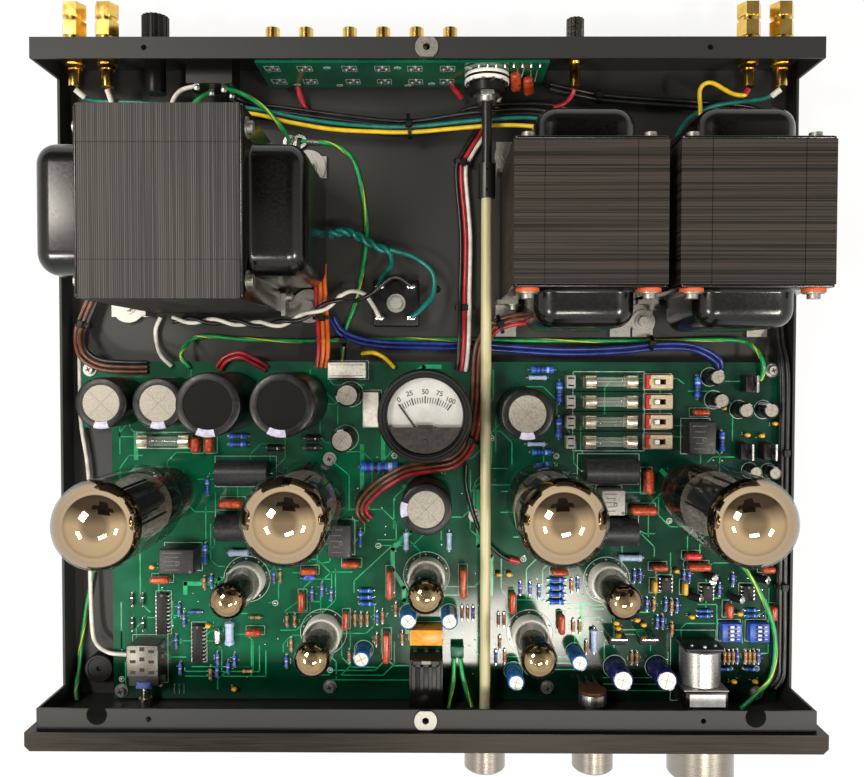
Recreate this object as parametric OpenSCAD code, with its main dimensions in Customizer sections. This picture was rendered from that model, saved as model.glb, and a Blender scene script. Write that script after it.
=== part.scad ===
// Tube integrated amplifier with its top cover taken off.
// Millimetres. +Z is up, the front panel faces -Y, and the feet stand on z = 0.

/* [Case] */
// Width of the folded chassis
chassis_w = 450; // [446:1:456]
// Depth of the chassis, from the front panel's face to the rear panel's face
chassis_d = 396; // [390:1:420]
// Height of the front and rear panels, from the pan's underside to the lip's top
panel_h = 51.5; // [50:0.5:58]
// Sheet thickness of the pan and the panels
sheet_t = 1.5; // [1:0.1:2]
// Depth of the panels' top lips
lip_d = 12; // [11:0.5:15]
// Height of the pan's side walls
side_h = 17; // [14:0.5:22]
// Diameter of the feet
foot_d = 32; // [24:1:40]
// Height of the feet
foot_h = 12; // [8:0.5:18]
// Distance of the feet's centres from the chassis edges
foot_inset = 34; // [26:1:50]
// Distance between the cover's screws along each lip
cover_screw_x = 320; // [300:1:340]
// Radius of the cover's screw holes
cover_hole_r = 1.6; // [1.2:0.1:2.2]
// Diameter of the steel discs set in the lips
insert_d = 13; // [11:0.5:14]

/* [Front] */
// Width of the faceplate
faceplate_w = 460; // [456:1:480]
// Height of the faceplate
faceplate_h = 60; // [56:0.5:66]
// Thickness of the faceplate
faceplate_t = 11; // [8:0.5:13]
// How far the faceplate hangs below the pan
faceplate_drop = 4; // [0:0.5:6]
// Width of the chamfer on the faceplate's ends
faceplate_cut = 3; // [1:0.5:5]
// Height of the control axes over the main board
control_h = 15; // [14:0.5:18]
// Place of the volume control from the middle
volume_x = 165.5; // [160:0.5:170]
// Place of the balance control from the middle
balance_x = 100.5; // [96:0.5:104]
// Place of the selector from the middle
selector_x = 35.5; // [33:0.5:37]
// Place of the power button from the middle
power_x = -172; // [-176:0.5:-168]
// Diameter of the volume knob
volume_knob_d = 39; // [32:0.5:44]
// Diameter of the balance and selector knobs
small_knob_d = 24.5; // [20:0.5:28]
// Length of the volume knob
volume_knob_l = 23; // [18:0.5:28]
// Length of the balance and selector knobs
small_knob_l = 20; // [16:0.5:23]
// Gap between a knob and the faceplate
knob_gap = 1; // [0.5:0.1:2]
// Radius of the control shafts
shaft_r = 3; // [2.5:0.1:3.2]
// Radius of the selector's extension rod
rod_r = 3.175; // [2.8:0.025:3.5]
// Diameter of the power button
button_d = 8; // [6:0.5:10]
// Travel of the power button
button_travel = 4; // [2:0.5:5]
// Radius of the headphone socket's bore
phone_r = 3.25; // [3.2:0.05:3.4]

/* [Rear] */
// How far the binding posts stand out of the rear panel
post_reach = 28.5; // [26:0.5:32]
// Place of the inner posts from the middle
post_x = 191; // [188:0.5:193]
// Distance between the two posts of a channel
post_pitch = 19.4; // [18:0.1:20]
// Radius of a post's stem
post_r = 3.5; // [3:0.1:4]
// Radius of the plug bore in a post's end
plug_r = 2; // [1.8:0.05:2.2]
// Depth of the plug bore
plug_l = 15; // [12:0.5:18]
// Width across a post nut's corners
post_nut_d = 14.4; // [13:0.2:16]
// Radius of a phono jack's barrel
rca_r = 4.15; // [4:0.05:4.3]
// How far the phono jacks stand out of the rear panel
rca_reach = 10.5; // [9:0.5:13]
// Distance between neighbouring phono jacks
rca_pitch = 19.5; // [18:0.1:20]
// Distance between the two rows of phono jacks
rca_row = 20; // [18:0.5:21]
// Distance from the rear panel to the upright input board
input_gap = 10; // [9:0.5:12]
// Thickness of the circuit boards
board_t = 1.6; // [1.2:0.1:2]
// Radius of the fuse holder's cap
fuse_cap_r = 8; // [7:0.25:9]

/* [Transformers] */
// Lamination height of the mains transformer
mains_h = 114.3; // [100:0.1:120]
// Lamination width of the mains transformer
mains_w = 95.3; // [90:0.1:100]
// Stack of the mains transformer
mains_stack = 80; // [70:0.5:84]
// Depth of the mains transformer's bells
mains_bell_d = 30; // [24:0.5:32]
// Lamination height of the output transformers
output_h = 95.3; // [86:0.1:100]
// Lamination width of the output transformers
output_w = 79.4; // [74:0.1:82]
// Stack of the output transformers
output_stack = 74; // [64:0.5:76]
// Depth of the output transformers' bells
output_bell_d = 21.5; // [16:0.5:24]
// Height of the cores over the floor
core_lift = 1.5; // [1:0.1:2.5]

/* [Board] */
// Height of the standoffs under the main board
standoff_h = 10; // [8:0.5:12]
// Depth of the main board
board_d = 210; // [208:1:212]
// Diameter of a power tube's bulb
bulb_d = 45.6; // [42:0.2:48]
// Height of a power tube's glass
bulb_h = 91; // [80:0.5:96]
// Diameter of a small tube's glass
small_bulb_d = 21; // [19:0.2:22]
// Height of a small tube's glass
small_bulb_h = 49; // [44:0.5:52]
// Diameter of the meter's bezel
meter_d = 54; // [50:0.5:55]
// Height of the meter's rim over the board
meter_h = 45; // [42:0.5:50]
// Travel of the bias switches' levers
lever_travel = 4; // [3:0.5:5]

/* [Hidden] */
$fn = 48;
running = 0.05;
clear = 0.3;
pan_z = foot_h;
floor_z = pan_z + sheet_t;
lip_z = pan_z + panel_h;
wall_z = pan_z + side_h;
board_z = floor_z + standoff_h + board_t;
control_z = board_z + control_h;
knob_reach = knob_gap + volume_knob_l;
total_d = knob_reach + faceplate_t + chassis_d + post_reach;
front_y = -total_d / 2 + knob_reach + faceplate_t;
rear_y = front_y + chassis_d;
front_in = front_y + sheet_t;
rear_in = rear_y - sheet_t;
face_y = front_y - faceplate_t;
board_gap = 1.25;
board_y = front_in + board_gap;
input_y = rear_in - input_gap;
half_w = chassis_w / 2;

// Board outline, from the middle of its front edge
board_right = 217;
board_left = 195;
board_ear = 213;
board_ear_y = 169;

// Parts on the board, x and y from the middle of its front edge
power_tubes = [[-160, 129], [-68, 131], [68, 131], [160, 131]];
small_tubes = [[-111.5, 75], [-64, 42], [0, 78], [64, 42], [111.5, 75]];
// x, y, radius, height
silver_caps = [[-188, 185.5, 15, 34], [-155, 185.5, 15, 34], [0, 125, 15, 38], [58, 180, 15, 38],
    [-47, 190, 7, 22], [-50, 163, 7, 22], [174, 201, 4.8, 16], [176.5, 187, 4.8, 16],
    [192, 181, 4.8, 14], [207, 181, 4.8, 14], [199, 143.5, 4, 12], [210.5, 143, 4, 12]];
black_caps = [[-119.5, 185.8, 18, 58], [-79, 185.8, 18, 58]];
small_blue_caps = [[-11, 54, 5, 18], [14, 54, 5, 18], [-39, 31, 5, 18], [54, 18, 5, 20],
    [92, 30, 5, 20], [117, 21, 6.3, 24], [143, 21, 6.3, 24]];
film_parts = [[-112, 142, 16], [-112, 108.5, 16.5], [112, 144, 16.5], [112, 106.5, 16.5]];
film_l = 32;
// x, y, length, thickness, height, 1 where the length runs along Y
dipped_parts = [[-141.5, 158.9, 10, 5.5, 9, 1], [-133.2, 158.9, 10, 5.5, 9, 1], [-120, 123, 14, 5, 10, 0],
    [-164, 75.5, 12, 4, 8, 0], [-46.5, 85.5, 11, 4, 8, 0], [-72.5, 81, 10, 4, 8, 0],
    [-77, 62, 12, 4, 8, 1], [-22.5, 74, 18, 4, 12, 1], [-49.8, 50.5, 11, 3.4, 8, 1],
    [-24.5, 35, 18, 4, 12, 1], [-106.5, 43, 10, 4, 8, 0], [135.5, 137, 15, 5.5, 11, 1],
    [132.5, 119.5, 16, 5.5, 11, 0], [167.5, 179.3, 10, 3.6, 8, 0], [143, 84, 10, 4, 8, 0],
    [167, 84.5, 14, 4.4, 9, 0], [163.5, 91, 10, 4, 8, 0], [209.5, 83, 8, 4, 8, 0],
    [22.5, 75, 18, 4, 12, 1], [53, 62, 13, 4, 9, 1], [83, 49, 12, 4, 9, 1], [186, 57.5, 9, 4, 8, 1],
    [213, 56, 9, 4, 8, 1], [82, 80.8, 10, 4, 8, 0], [140.2, 72, 8, 3, 7, 1], [158.9, 71, 8, 3, 7, 1]];
bead_parts = [[-169.5, 83], [-119, 7], [-135, 46.5], [117.2, 49], [130, 51], [196.5, 165.5], [205.3, 165],
    [44.3, 79], [51, 79], [163.7, 53], [193.3, 55], [190, 13], [203, 13], [154, 81.5]];
// x, y, length, diameter, 1 where the length runs along Y
blue_resistors = [[-116, 164, 11, 3.6, 0], [-116, 159, 11, 3.6, 0], [-135.5, 133, 9, 3, 1],
    [-137, 91.5, 11, 3.6, 1], [-116, 92, 12, 4.6, 0], [-41, 101.5, 9, 3, 1], [-29, 145.5, 23, 6.6, 0],
    [-153.5, 56.5, 6.5, 2.3, 1], [-150.4, 50.2, 6.5, 2.3, 1], [-143.2, 54.8, 6.5, 2.3, 0],
    [-155.5, 36, 6.5, 2.3, 1], [-121.7, 42, 14, 6, 1], [-129.7, 26, 6.5, 2.3, 1],
    [-119.3, 24.5, 6.5, 2.3, 1], [-123.3, 20, 6.5, 2.3, 1], [-130, 17.2, 6.5, 2.3, 1],
    [-153, 19, 6.5, 2.3, 1], [-73.5, 76, 6.5, 2.3, 0], [-94.7, 77, 6.5, 2.3, 1], [-133.4, 74, 6.5, 2.3, 1],
    [-71, 66, 6.5, 2.3, 1], [-64.8, 69, 6.5, 2.3, 1], [-59, 66, 6.5, 2.3, 1], [-37.5, 68.5, 8, 3, 0],
    [-37.5, 64.4, 8, 3, 0], [-36.8, 60.3, 8, 3, 0], [-12.7, 99.5, 11, 3.4, 1], [13.9, 99.5, 11, 3.4, 1],
    [-87, 23.8, 6.5, 2.3, 1], [-30.7, 51.3, 6.5, 2.3, 1], [70.7, 205.2, 14, 4.6, 0],
    [68, 200.3, 11, 3, 0], [81.3, 195.2, 6.5, 2.8, 1], [81.3, 188, 6.5, 2.8, 1], [81, 173.2, 6.2, 2.8, 1],
    [81, 166.4, 6.2, 2.8, 1], [70.7, 154.5, 12, 4, 0], [67.5, 159.6, 11, 3, 0], [166, 198.3, 6.2, 2.6, 1],
    [166, 191.2, 6.2, 2.6, 1], [181, 165, 6.2, 2.6, 1], [181, 157.8, 6.2, 2.6, 1],
    [125.5, 89.5, 14, 4.6, 0], [80.4, 75.6, 9, 3.4, 0], [80.4, 71, 9, 3.4, 0], [80.4, 66.4, 9, 3.4, 0],
    [80.4, 61.8, 9, 3.4, 0], [58, 70, 6.5, 2.3, 1], [64, 70, 6.5, 2.3, 1], [69.5, 68, 6.5, 2.3, 1],
    [93.5, 73, 6.5, 2.3, 1], [128.4, 78, 6.5, 2.3, 1], [132, 78, 6.5, 2.3, 1], [136.4, 60.5, 6.5, 2.3, 1],
    [148, 60.5, 6.5, 2.3, 1], [155, 59.5, 6.5, 2.3, 1], [142.8, 49.5, 6.5, 2.3, 1],
    [146.1, 49.5, 6.5, 2.3, 1], [172, 56.4, 7, 2.3, 0], [172, 53.2, 7, 2.3, 0], [201, 57, 7, 2.3, 0],
    [201, 53.6, 7, 2.3, 0], [103.5, 38, 14, 4.6, 1], [43, 27, 6.5, 2.3, 1]];
tan_resistors = [[-90.7, 77], [-137.7, 73], [-86.4, 49.7], [-81.6, 49.7], [-84, 34.3], [-44.4, 50.5],
    [-40.6, 50.5], [-36.8, 50.5], [-27.3, 52.3], [-19, 57], [-31, 37.5], [-15, 39], [-134.2, 16],
    [-48, 27.5], [89.7, 72], [140.6, 60.5], [151.6, 59.5], [90.8, 46.5], [94.8, 46.5], [99, 33.5],
    [127.3, 27], [130.4, 27], [44.6, 50.5], [48, 50.5], [45.4, 36], [48.5, 27.5], [22, 54.6], [25.4, 54.6],
    for (i = [0:3]) [184.5 + 2.7 * i, 27.8], for (i = [0:3]) [197.5 + 2.7 * i, 27.8]];
diodes = [[-182.5, 62.5], [-176, 62.5], [-182.5, 47], [-176, 47]];
tan_l = 6.5;
tan_d = 2.3;
// x, y, size along x, y and z
relay_parts = [[165.5, 164.5, 16, 20, 15], [-151, 89, 21, 15, 15], [112.5, 125.3, 14, 15, 15],
    [-52.5, 101.5, 14, 20, 15]];
chip_parts = [[-163.5, 54, 6.5, 25.5, 4.5], [-141.5, 35.5, 6.5, 23, 4.5], [147.5, 73, 6.5, 9.5, 4.5],
    [173, 68, 6.5, 9.5, 4.5], [198, 68, 6.5, 9.5, 4.5]];
tab_parts = [[116.5, 41], [135, 41], [193.5, 156], [207.5, 156], [196, 197]];
box_items = [[-48.5, 204.8, 23, 9.5, 9], [-33.8, 181, 9.5, 21, 10], [0, 43, 20, 9.5, 14],
    [19, 32, 8, 7, 8], [-129.5, 39.5, 4.6, 11, 5]];
fuse_rows = [198, 185.8, 173.6, 161.4];
fuse_x = 112;
left_fuse = [-160.5, 161.2];
fuse_l = 31.8;
switch_x = 142;
switch_size = [16, 8.5, 6];
gate_x = 87.5;
dip_places = [[187.5, 44], [204.5, 44]];
dip_size = [12, 11.5, 6];
meter_place = [-0.5, 179];
needle_rest = 35;
needle_l = 26;
needle_drop = 15;

// Places in the chassis, from the rear panel or the middle
post_in = 18;
front_room = 18;
rear_room = 28.75;
board_back = board_y + board_d;
output_half = output_stack / 2 + output_bell_d;
spare_room = rear_y - sheet_t - post_in - board_back - 2 * output_half;
output_y = board_back + output_half + spare_room * front_room / (front_room + rear_room);
mains_shift = 1.5;
bridge_shift = 40.5;
mains_place = [-130.5, output_y + mains_shift];
output_places = [[85, output_y], [170.5, output_y]];
bridge_place = [-19, output_y - bridge_shift];
rca_x = [-90, -90 + rca_pitch, -45, -45 + rca_pitch, -45 + 2 * rca_pitch, -45 + 3 * rca_pitch];
rca_low = floor_z + 14;
post_z = floor_z + 24;
fuse_holder_x = -162;
inlet_x = -127.5;
ground_x = 88;
switch_axis = [selector_x, control_z];

// Rounded rectangle, centred
module rounded(w, h, r) {
    square([w - 2 * r, h], center = true);
    square([w, h - 2 * r], center = true);
    for (x = [-1, 1], y = [-1, 1])
        translate([x * (w / 2 - r), y * (h / 2 - r)]) circle(r);
}

// Round bar along -Y from y = 0
module bar_front(r, l) {
    rotate([90, 0, 0]) cylinder(r = r, h = l);
}

// Round bar along +Y from y = 0
module bar_back(r, l) {
    rotate([-90, 0, 0]) cylinder(r = r, h = l);
}

module on_board(p) {
    translate([p[0], board_y + p[1], board_z]) children();
}

module block(w, d, h) {
    translate([-w / 2, -d / 2, 0]) cube([w, d, h]);
}

// Turns a part drawn along X so that it runs along Y where asked
module aligned(along_y) {
    rotate([0, 0, along_y * 90]) children();
}

// Swept leads
function unit(v) = v / norm(v);
function spline(a, b, c, d, t) = 0.5 * (2 * b + (c - a) * t + (2 * a - 5 * b + 4 * c - d) * t * t
    + (3 * b - a - 3 * c + d) * t * t * t);
function smooth_path(p, steps) = let (n = len(p)) [
    for (i = [0:n - 2], k = [0:steps - 1])
        spline(p[max(i - 1, 0)], p[i], p[i + 1], p[min(i + 2, n - 1)], k / steps),
    p[n - 1]];
function tangents(p) = let (n = len(p)) [
    for (i = [0:n - 1]) unit(p[min(i + 1, n - 1)] - p[max(i - 1, 0)])];
function flat_side(t) = let (s = cross(t, [0, 0, 1])) norm(s) < 0.01 ? [1, 0, 0] : unit(s);
function project_off(n, t) = unit(n - (n * t) * t);
function carried(t) = let (n0 = flat_side(t[0])) [
    for (i = 0, n = n0; i < len(t); i = i + 1, n = project_off(n, t[min(i, len(t) - 1)])) n];
function beside(p, side, rise) = let (t = tangents(p)) [
    for (i = [0:len(p) - 1]) p[i] + side * flat_side(t[i]) + [0, 0, rise]];
function twisted(p, r, turns, phase) = let (t = tangents(p), n = carried(t), last = len(p) - 1) [
    for (i = [0:last]) let (a = phase + 360 * turns * i / last)
        p[i] + r * (cos(a) * n[i] + sin(a) * cross(t[i], n[i]))];

lead_sides = 6;
lead_steps = 2;
lead_r = 1.15;
lead_pitch = 2.9;
twist_r = 1.4;

// Closed skin over a row of outlines that all have the same number of points
module loft(rings) {
    n = len(rings[0]);
    last = len(rings) - 1;
    end = last * n;
    sides = [for (i = [0:last - 1], k = [0:n - 1]) let (a = i * n + k, b = i * n + (k + 1) % n)
        each [[a, a + n, b], [b, a + n, b + n]]];
    first_cap = [for (k = [1:n - 2]) [0, k, k + 1]];
    last_cap = [for (k = [1:n - 2]) [end, end + k + 1, end + k]];
    polyhedron([for (g = rings) each g], concat(sides, first_cap, last_cap));
}

module sweep(p, r) {
    t = tangents(p);
    n = carried(t);
    loft([for (i = [0:len(p) - 1]) [for (k = [0:lead_sides - 1]) let (a = 360 * k / lead_sides)
        p[i] + r * (cos(a) * n[i] + sin(a) * cross(t[i], n[i]))]]);
}

// Depths for which the routes were chosen, and where the pieces at those depths stand
last_row = 209;
inlet_front = 21.75;
route_y = [-193.25, -192, 17, 36, 153, 179.5, 201.25];
piece_y = [front_in, board_y, board_y + last_row, output_y - output_half, output_y + output_half,
    rear_y - inlet_front, rear_y];
route_table = [for (i = [0:len(route_y) - 1]) [route_y[i], piece_y[i]]];
function laid(route) = [for (p = route) [p[0], lookup(p[1], route_table), p[2]]];

module lead(route, side = 0, rise = 0, r = lead_r) {
    sweep(beside(smooth_path(laid(route), lead_steps), side, rise), r);
}

// Lead routes, chosen by hand
earth_in = [[-120, 179.5, 42], [-110, 177, 40], [-98, 170, 37], [-90, 162, 35], [-86, 156.5, 27], [-85, 154, 20]];
white_in = [[-135, 179.5, 46], [-145, 177, 45], [-151, 170, 42], [-152, 160, 34], [-150, 150, 24], [-150, 146.5, 17]];
earth_left = [[-129, 179.5, 36], [-137, 175.5, 36], [-142, 168, 35.5], [-142, 157, 28], [-141, 148, 17]];
yellow_left = [[-191, 180.6, 37.5], [-189, 173, 34], [-178, 169.8, 31], [-150, 169.4, 30], [-109, 168.5, 30], [-83, 163, 30],
    [-59, 159, 30], [-35, 157.5, 30], [-11, 157, 30], [14, 159, 30], [38, 161, 30],
    [57, 160.5, 32], [68, 157.5, 36.5], [70, 153.8, 38]];
teal_left = [[-210.4, 180.6, 37.5], [-203, 175.6, 32], [-178, 175, 30.5], [-150, 173.2, 30], [-109, 171.7, 30], [-77, 165.5, 30],
    [-47, 161.6, 30], [-11, 160.4, 30], [32, 164.4, 30], [64, 165, 32], [79, 159.5, 36], [82, 153.8, 38]];
black_back = [[-118, 179.5, 31], [-114, 177.5, 27], [-104, 175, 24.5], [-90, 174, 24], [-47, 168, 25], [-11, 165, 25.5], [26, 170, 26], [63, 172, 26],
    [86, 166, 31], [94, 159, 36], [95, 153.8, 38]];
black_floor = [[-114, 171, 15], [-90, 169, 15], [-47, 163, 15.4], [-11, 160, 16], [12, 163, 18], [26, 174, 22],
    [70, 176.5, 22], [92, 170, 26], [100, 161, 34], [100, 153.8, 38]];
yellow_right = [[191, 180.4, 37.5], [189, 177, 37.3], [181, 178, 37.5], [169, 184, 38], [163, 181, 36.5], [164, 170, 33],
    [164, 158, 33], [160, 153.5, 34]];
teal_right = [[210.4, 180.6, 37.5], [203, 176.5, 33], [188, 175.5, 29], [172, 173, 27.5], [160, 167, 27.5],
    [154, 160, 30], [150, 153.5, 34]];
harness = [[74, 185, 30], [90, 182, 28], [110, 180, 24], [150, 178, 21], [190, 176, 19], [206, 172, 18],
    [217, 160, 18], [218.5, 120, 18], [218.5, 60, 18], [218.5, 32, 22], [219.2, 10, 28.5], [219.2, -40, 28.5],
    [219.2, -100, 28.5], [219.2, -160, 28.5], [218.5, -175, 28.5], [214.5, -182.5, 27.6]];
red_signal = [[-80, 187.7, 21], [-79, 181, 20], [-76, 176, 18], [-72, 172.5, 16]];
ground_pair = [[88, 180.6, 36], [86.5, 177, 35.2], [82, 172.5, 35.2], [76, 170, 36]];
earth_run = [[-79, 155.5, 15.5], [-66, 155, 14.8], [-55, 152, 14.8], [-46, 143, 14.8], [-41, 125, 14.8],
    [-38, 104, 14.8], [-39, 86, 14.8], [-42, 68, 14.8], [-45, 54, 14.8], [-51, 39, 14.8], [-53, 26, 14.8],
    [-53, 8, 14.8]];
teal_core = [[-58.6, 95, 32], [-48, 97, 29], [-36, 91, 27], [-22, 85, 27]];
teal_end_a = [[-22, 77, 28], [-27, 69, 34], [-28.5, 63.5, 37.2]];
teal_end_b = [[-8, 82, 27], [3, 73, 28], [4, 60, 30], [-3, 50, 35], [-9.5, 44.5, 37.2]];
mains_pair = [[-158, 44, 21], [-142, 43.2, 22], [-123, 42.5, 23.5], [-104, 41, 26], [-86, 42, 29.3], [-67, 49, 31.5],
    [-52, 57, 30]];
white_end = [[-46, 61, 29], [-38, 59, 30], [-32, 51, 34], [-28.5, 44.5, 37.2]];
black_end = [[-45, 54.5, 33], [-34, 58, 39], [-20, 68.5, 40], [-9.5, 63.5, 37.2]];
orange_run = [[-66, 78, 24.5], [-66, 68, 24.6], [-64.5, 44, 24.6], [-63.5, 26, 27.5], [-65, 14.5, 26.6]];
blue_run = [[-58, 46, 20.5], [-51, 36.5, 20.5], [-33, 31, 20.5], [0, 29.5, 20.5], [33, 29, 20.5],
    [82, 26, 20.5], [119, 27, 20.5], [144, 29.5, 20.5], [165, 28.5, 22], [178, 21, 28], [181, 14.5, 26.8]];
green_run = [[-146, 14, 26.6], [-151, 22, 27], [-148, 31, 18], [-138, 34, 15.2], [-116, 32, 15.2], [-79, 31, 15.2],
    [-52, 31.5, 17.3], [-30, 32, 15.2], [8, 32, 15.2], [60, 31.4, 15.2], [107, 31.4, 15.2], [140, 31.4, 15.2],
    [190, 32, 18], [201, 27, 25], [205, 17, 30], [205, 7, 26.8]];
brown_run = [[-203, 72, 24], [-207, 58, 22], [-212, 46, 22], [-214.5, 34, 24], [-210.5, 22.5, 28.5], [-200, 16, 28.5],
    [-184, 14.5, 27.6], [-172, 14.5, 26.6]];
white_run = [[-167, 45.6, 17], [-170, 38, 17], [-169, 29, 18], [-163, 21, 27.2], [-157, 15, 26.8]];
red_loop = [[-129, 14.5, 26.5], [-124, 20.5, 29], [-114, 23.5, 31], [-106, 20, 30], [-98, 15, 26.6]];
yellow_loop = [[-40, 23, 22], [-33, 23.5, 29], [-26, 20.5, 30], [-20, 14.5, 26.6]];
centre_run = [[41, 187.4, 21], [37, 177, 16.5], [31, 163, 16], [22, 148, 17], [18, 136, 17.5], [21, 97, 17.5],
    [20.5, 60, 18.5], [20, 36, 27.5], [19, 21, 28.5], [18, 13, 26.6]];
meter_run = [[66, 45, 24.2], [54, 44, 25], [42, 40, 27], [35, 32, 29], [31.8, 21, 29.5], [30.5, -6, 29], [26.5, -31, 29.5],
    [17, -42.5, 31], [2, -46, 32], [-13, -48.5, 34.5], [-28, -57, 34.5], [-38, -67, 30], [-40, -75, 27], [-36, -80, 26.6]];
black_loop = [[24, -44, 37], [24.5, -60, 34], [33, -86, 31], [46, -101, 29], [57, -105.5, 26.9]];
left_white = [[-217.5, 42, 19], [-217.5, 10, 18], [-217, -20, 18], [-213, -48, 18], [-211.5, -80, 18.5], [-211, -115, 20.5],
    [-210, -148, 21], [-206.5, -158.5, 23], [-197, -162.5, 27.5], [-187, -163.5, 28], [-182, -163.5, 28]];
left_earth = [[-207, -60, 16], [-206.5, -90, 15.5], [-213.5, -126, 15.5], [-218.5, -156, 16], [-219.8, -176, 18],
    [-219, -186, 24], [-217, -192.5, 28]];
right_earth = [[184, -99, 26.8], [192, -106, 36], [203, -125, 40], [210, -147, 40], [208, -171, 40], [198, -185, 38],
    [191.5, -192.5, 36]];
front_earth_a = [[17, -163, 34.4], [16.4, -176, 36], [13.5, -192.5, 37]];
front_earth_b = [[20.6, -163, 34.4], [23, -177, 36], [28, -192.5, 34]];

module bottom_pan() {
    d = rear_in - front_in;
    color("dimgray") translate([0, front_in, pan_z]) {
        difference() {
            translate([-half_w, 0, 0]) cube([chassis_w, d, sheet_t]);
            translate([6, d - 136, -1]) cylinder(r = 2.5, h = sheet_t + 2);
        }
        for (s = [-1, 1])
            translate([s * (half_w - sheet_t / 2) - sheet_t / 2, 0, sheet_t])
                cube([sheet_t, d, side_h - sheet_t]);
    }
}

// A folded panel with its face on y = 0, its lip and end flanges toward +Y
module folded_panel() {
    difference() {
        translate([-half_w, 0, pan_z]) cube([chassis_w, lip_d, panel_h]);
        translate([-half_w + sheet_t, sheet_t, pan_z - 1])
            cube([chassis_w - 2 * sheet_t, lip_d, panel_h + 1 - sheet_t]);
        for (s = [-1, 1])
            translate([s * half_w - sheet_t - 1, sheet_t, pan_z - 1]) cube([2 * sheet_t + 2, lip_d, side_h + 1]);
        for (s = [-1, 1])
            translate([s * cover_screw_x / 2, lip_d / 2, lip_z - sheet_t - 1]) cylinder(r = cover_hole_r, h = sheet_t + 2);
        translate([0, lip_d / 2, lip_z - sheet_t - 1]) cylinder(r = insert_neck_r, h = sheet_t + 2);
    }
}
insert_neck_r = 4;

module rear_holes() {
    for (x = rca_x, i = [0, 1])
        translate([x, 0, rca_low + i * rca_row]) bar_front(rca_r + 0.15, 3 * sheet_t);
    for (x = [-post_x - post_pitch, -post_x, post_x, post_x + post_pitch])
        translate([x, 0, post_z]) bar_front(post_r + 1.5, 3 * sheet_t);
    translate([fuse_holder_x, 0, post_z]) bar_front(fuse_neck_r + 0.15, 3 * sheet_t);
    translate([ground_x, 0, post_z]) bar_front(ground_r + 0.2, 3 * sheet_t);
    translate([inlet_x - inlet_w / 2 - 0.1, -3 * sheet_t, post_z - inlet_h / 2 - 0.1])
        cube([inlet_w + 0.2, 3 * sheet_t, inlet_h + 0.2]);
}

module rear_panel() {
    color("black") difference() {
        translate([0, rear_y, 0]) mirror([0, 1, 0]) folded_panel();
        translate([0, rear_y + sheet_t, 0]) rear_holes();
    }
}

notch_r = 6;
notch_x = 190;
module front_panel() {
    color("black") translate([0, front_y, 0]) difference() {
        folded_panel();
        for (s = [-1, 1])
            translate([s * notch_x, lip_d - notch_r * 0.6, lip_z - sheet_t - 1]) cylinder(r = notch_r, h = sheet_t + 2);
        for (x = [volume_x, balance_x])
            translate([x, sheet_t + 1, control_z]) bar_front(shaft_r + clear, sheet_t + 2);
        translate([selector_x, sheet_t + 1, control_z]) bar_front(rod_r + running, sheet_t + 2);
        translate([power_x, sheet_t + 1, power_z]) bar_front(button_d / 2 + clear, sheet_t + 2);
        translate([0, sheet_t + 1, phone_z]) bar_front(phone_nose_r + 0.1, sheet_t + 2);
    }
}
power_z = board_z + 9;
phone_z = board_z + 11;
phone_nose_r = 5.5;

module faceplate() {
    w = faceplate_w / 2;
    c = faceplate_cut;
    color("dimgray") difference() {
        translate([0, face_y, pan_z - faceplate_drop]) linear_extrude(faceplate_h)
            polygon([[-w, faceplate_t], [-w, c], [c - w, 0], [w - c, 0], [w, c], [w, faceplate_t]]);
        for (x = [volume_x, balance_x])
            translate([x, front_y + 1, control_z]) bar_front(shaft_r + 2 * clear, faceplate_t + 2);
        translate([selector_x, front_y + 1, control_z]) bar_front(rod_r + 2 * clear, faceplate_t + 2);
        translate([power_x, front_y + 1, power_z]) bar_front(button_d / 2 + clear, faceplate_t + 2);
        translate([0, front_y + 1, phone_z]) bar_front(phone_nose_r + 0.1, faceplate_t + 2);
    }
}

module rubber_feet() {
    color("black") for (x = [-1, 1], y = [front_y + foot_inset, rear_y - foot_inset])
        translate([x * (half_w - foot_inset), y, 0]) difference() {
            rotate_extrude() polygon([[0, 0], [foot_d / 2 - 3, 0], [foot_d / 2, foot_h], [0, foot_h]]);
            translate([0, 0, -1]) cylinder(r = foot_d / 5, h = foot_h / 2);
        }
}

// Pan head on a flat washer, along +Z
module screw(r) {
    cylinder(r = 1.6 * r, h = 0.8);
    translate([0, 0, 0.8]) cylinder(r = r, h = 2.6);
}

// Steel disc set in a lip, with a threaded hole
module lip_insert() {
    translate([0, 0, lip_z - sheet_t]) difference() {
        union() {
            cylinder(r = insert_neck_r - 0.05, h = sheet_t);
            translate([0, 0, sheet_t]) intersection() {
                cylinder(r = insert_d / 2, h = 1.2);
                block(insert_d, insert_d * 0.86, 1.2);
            }
        }
        translate([0, 0, -1]) cylinder(r = insert_hole_r, h = sheet_t + 4);
    }
}
insert_hole_r = 2;

bracket_t = 2.5;
bracket_h = 16;
// Bent foot standing at x = 0, with its leg along +X and its bolt
module core_foot(w, leg, washer_r) {
    translate([0, -w / 2, 0]) cube([bracket_t, w, bracket_h]);
    translate([bracket_t, -w / 2, 0]) cube([leg - bracket_t, w, bracket_t]);
    translate([leg * 0.58, 0, bracket_t]) {
        cylinder(r = washer_r, h = 1.2);
        translate([0, 0, 1.2]) screw(3.2);
    }
}

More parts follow.
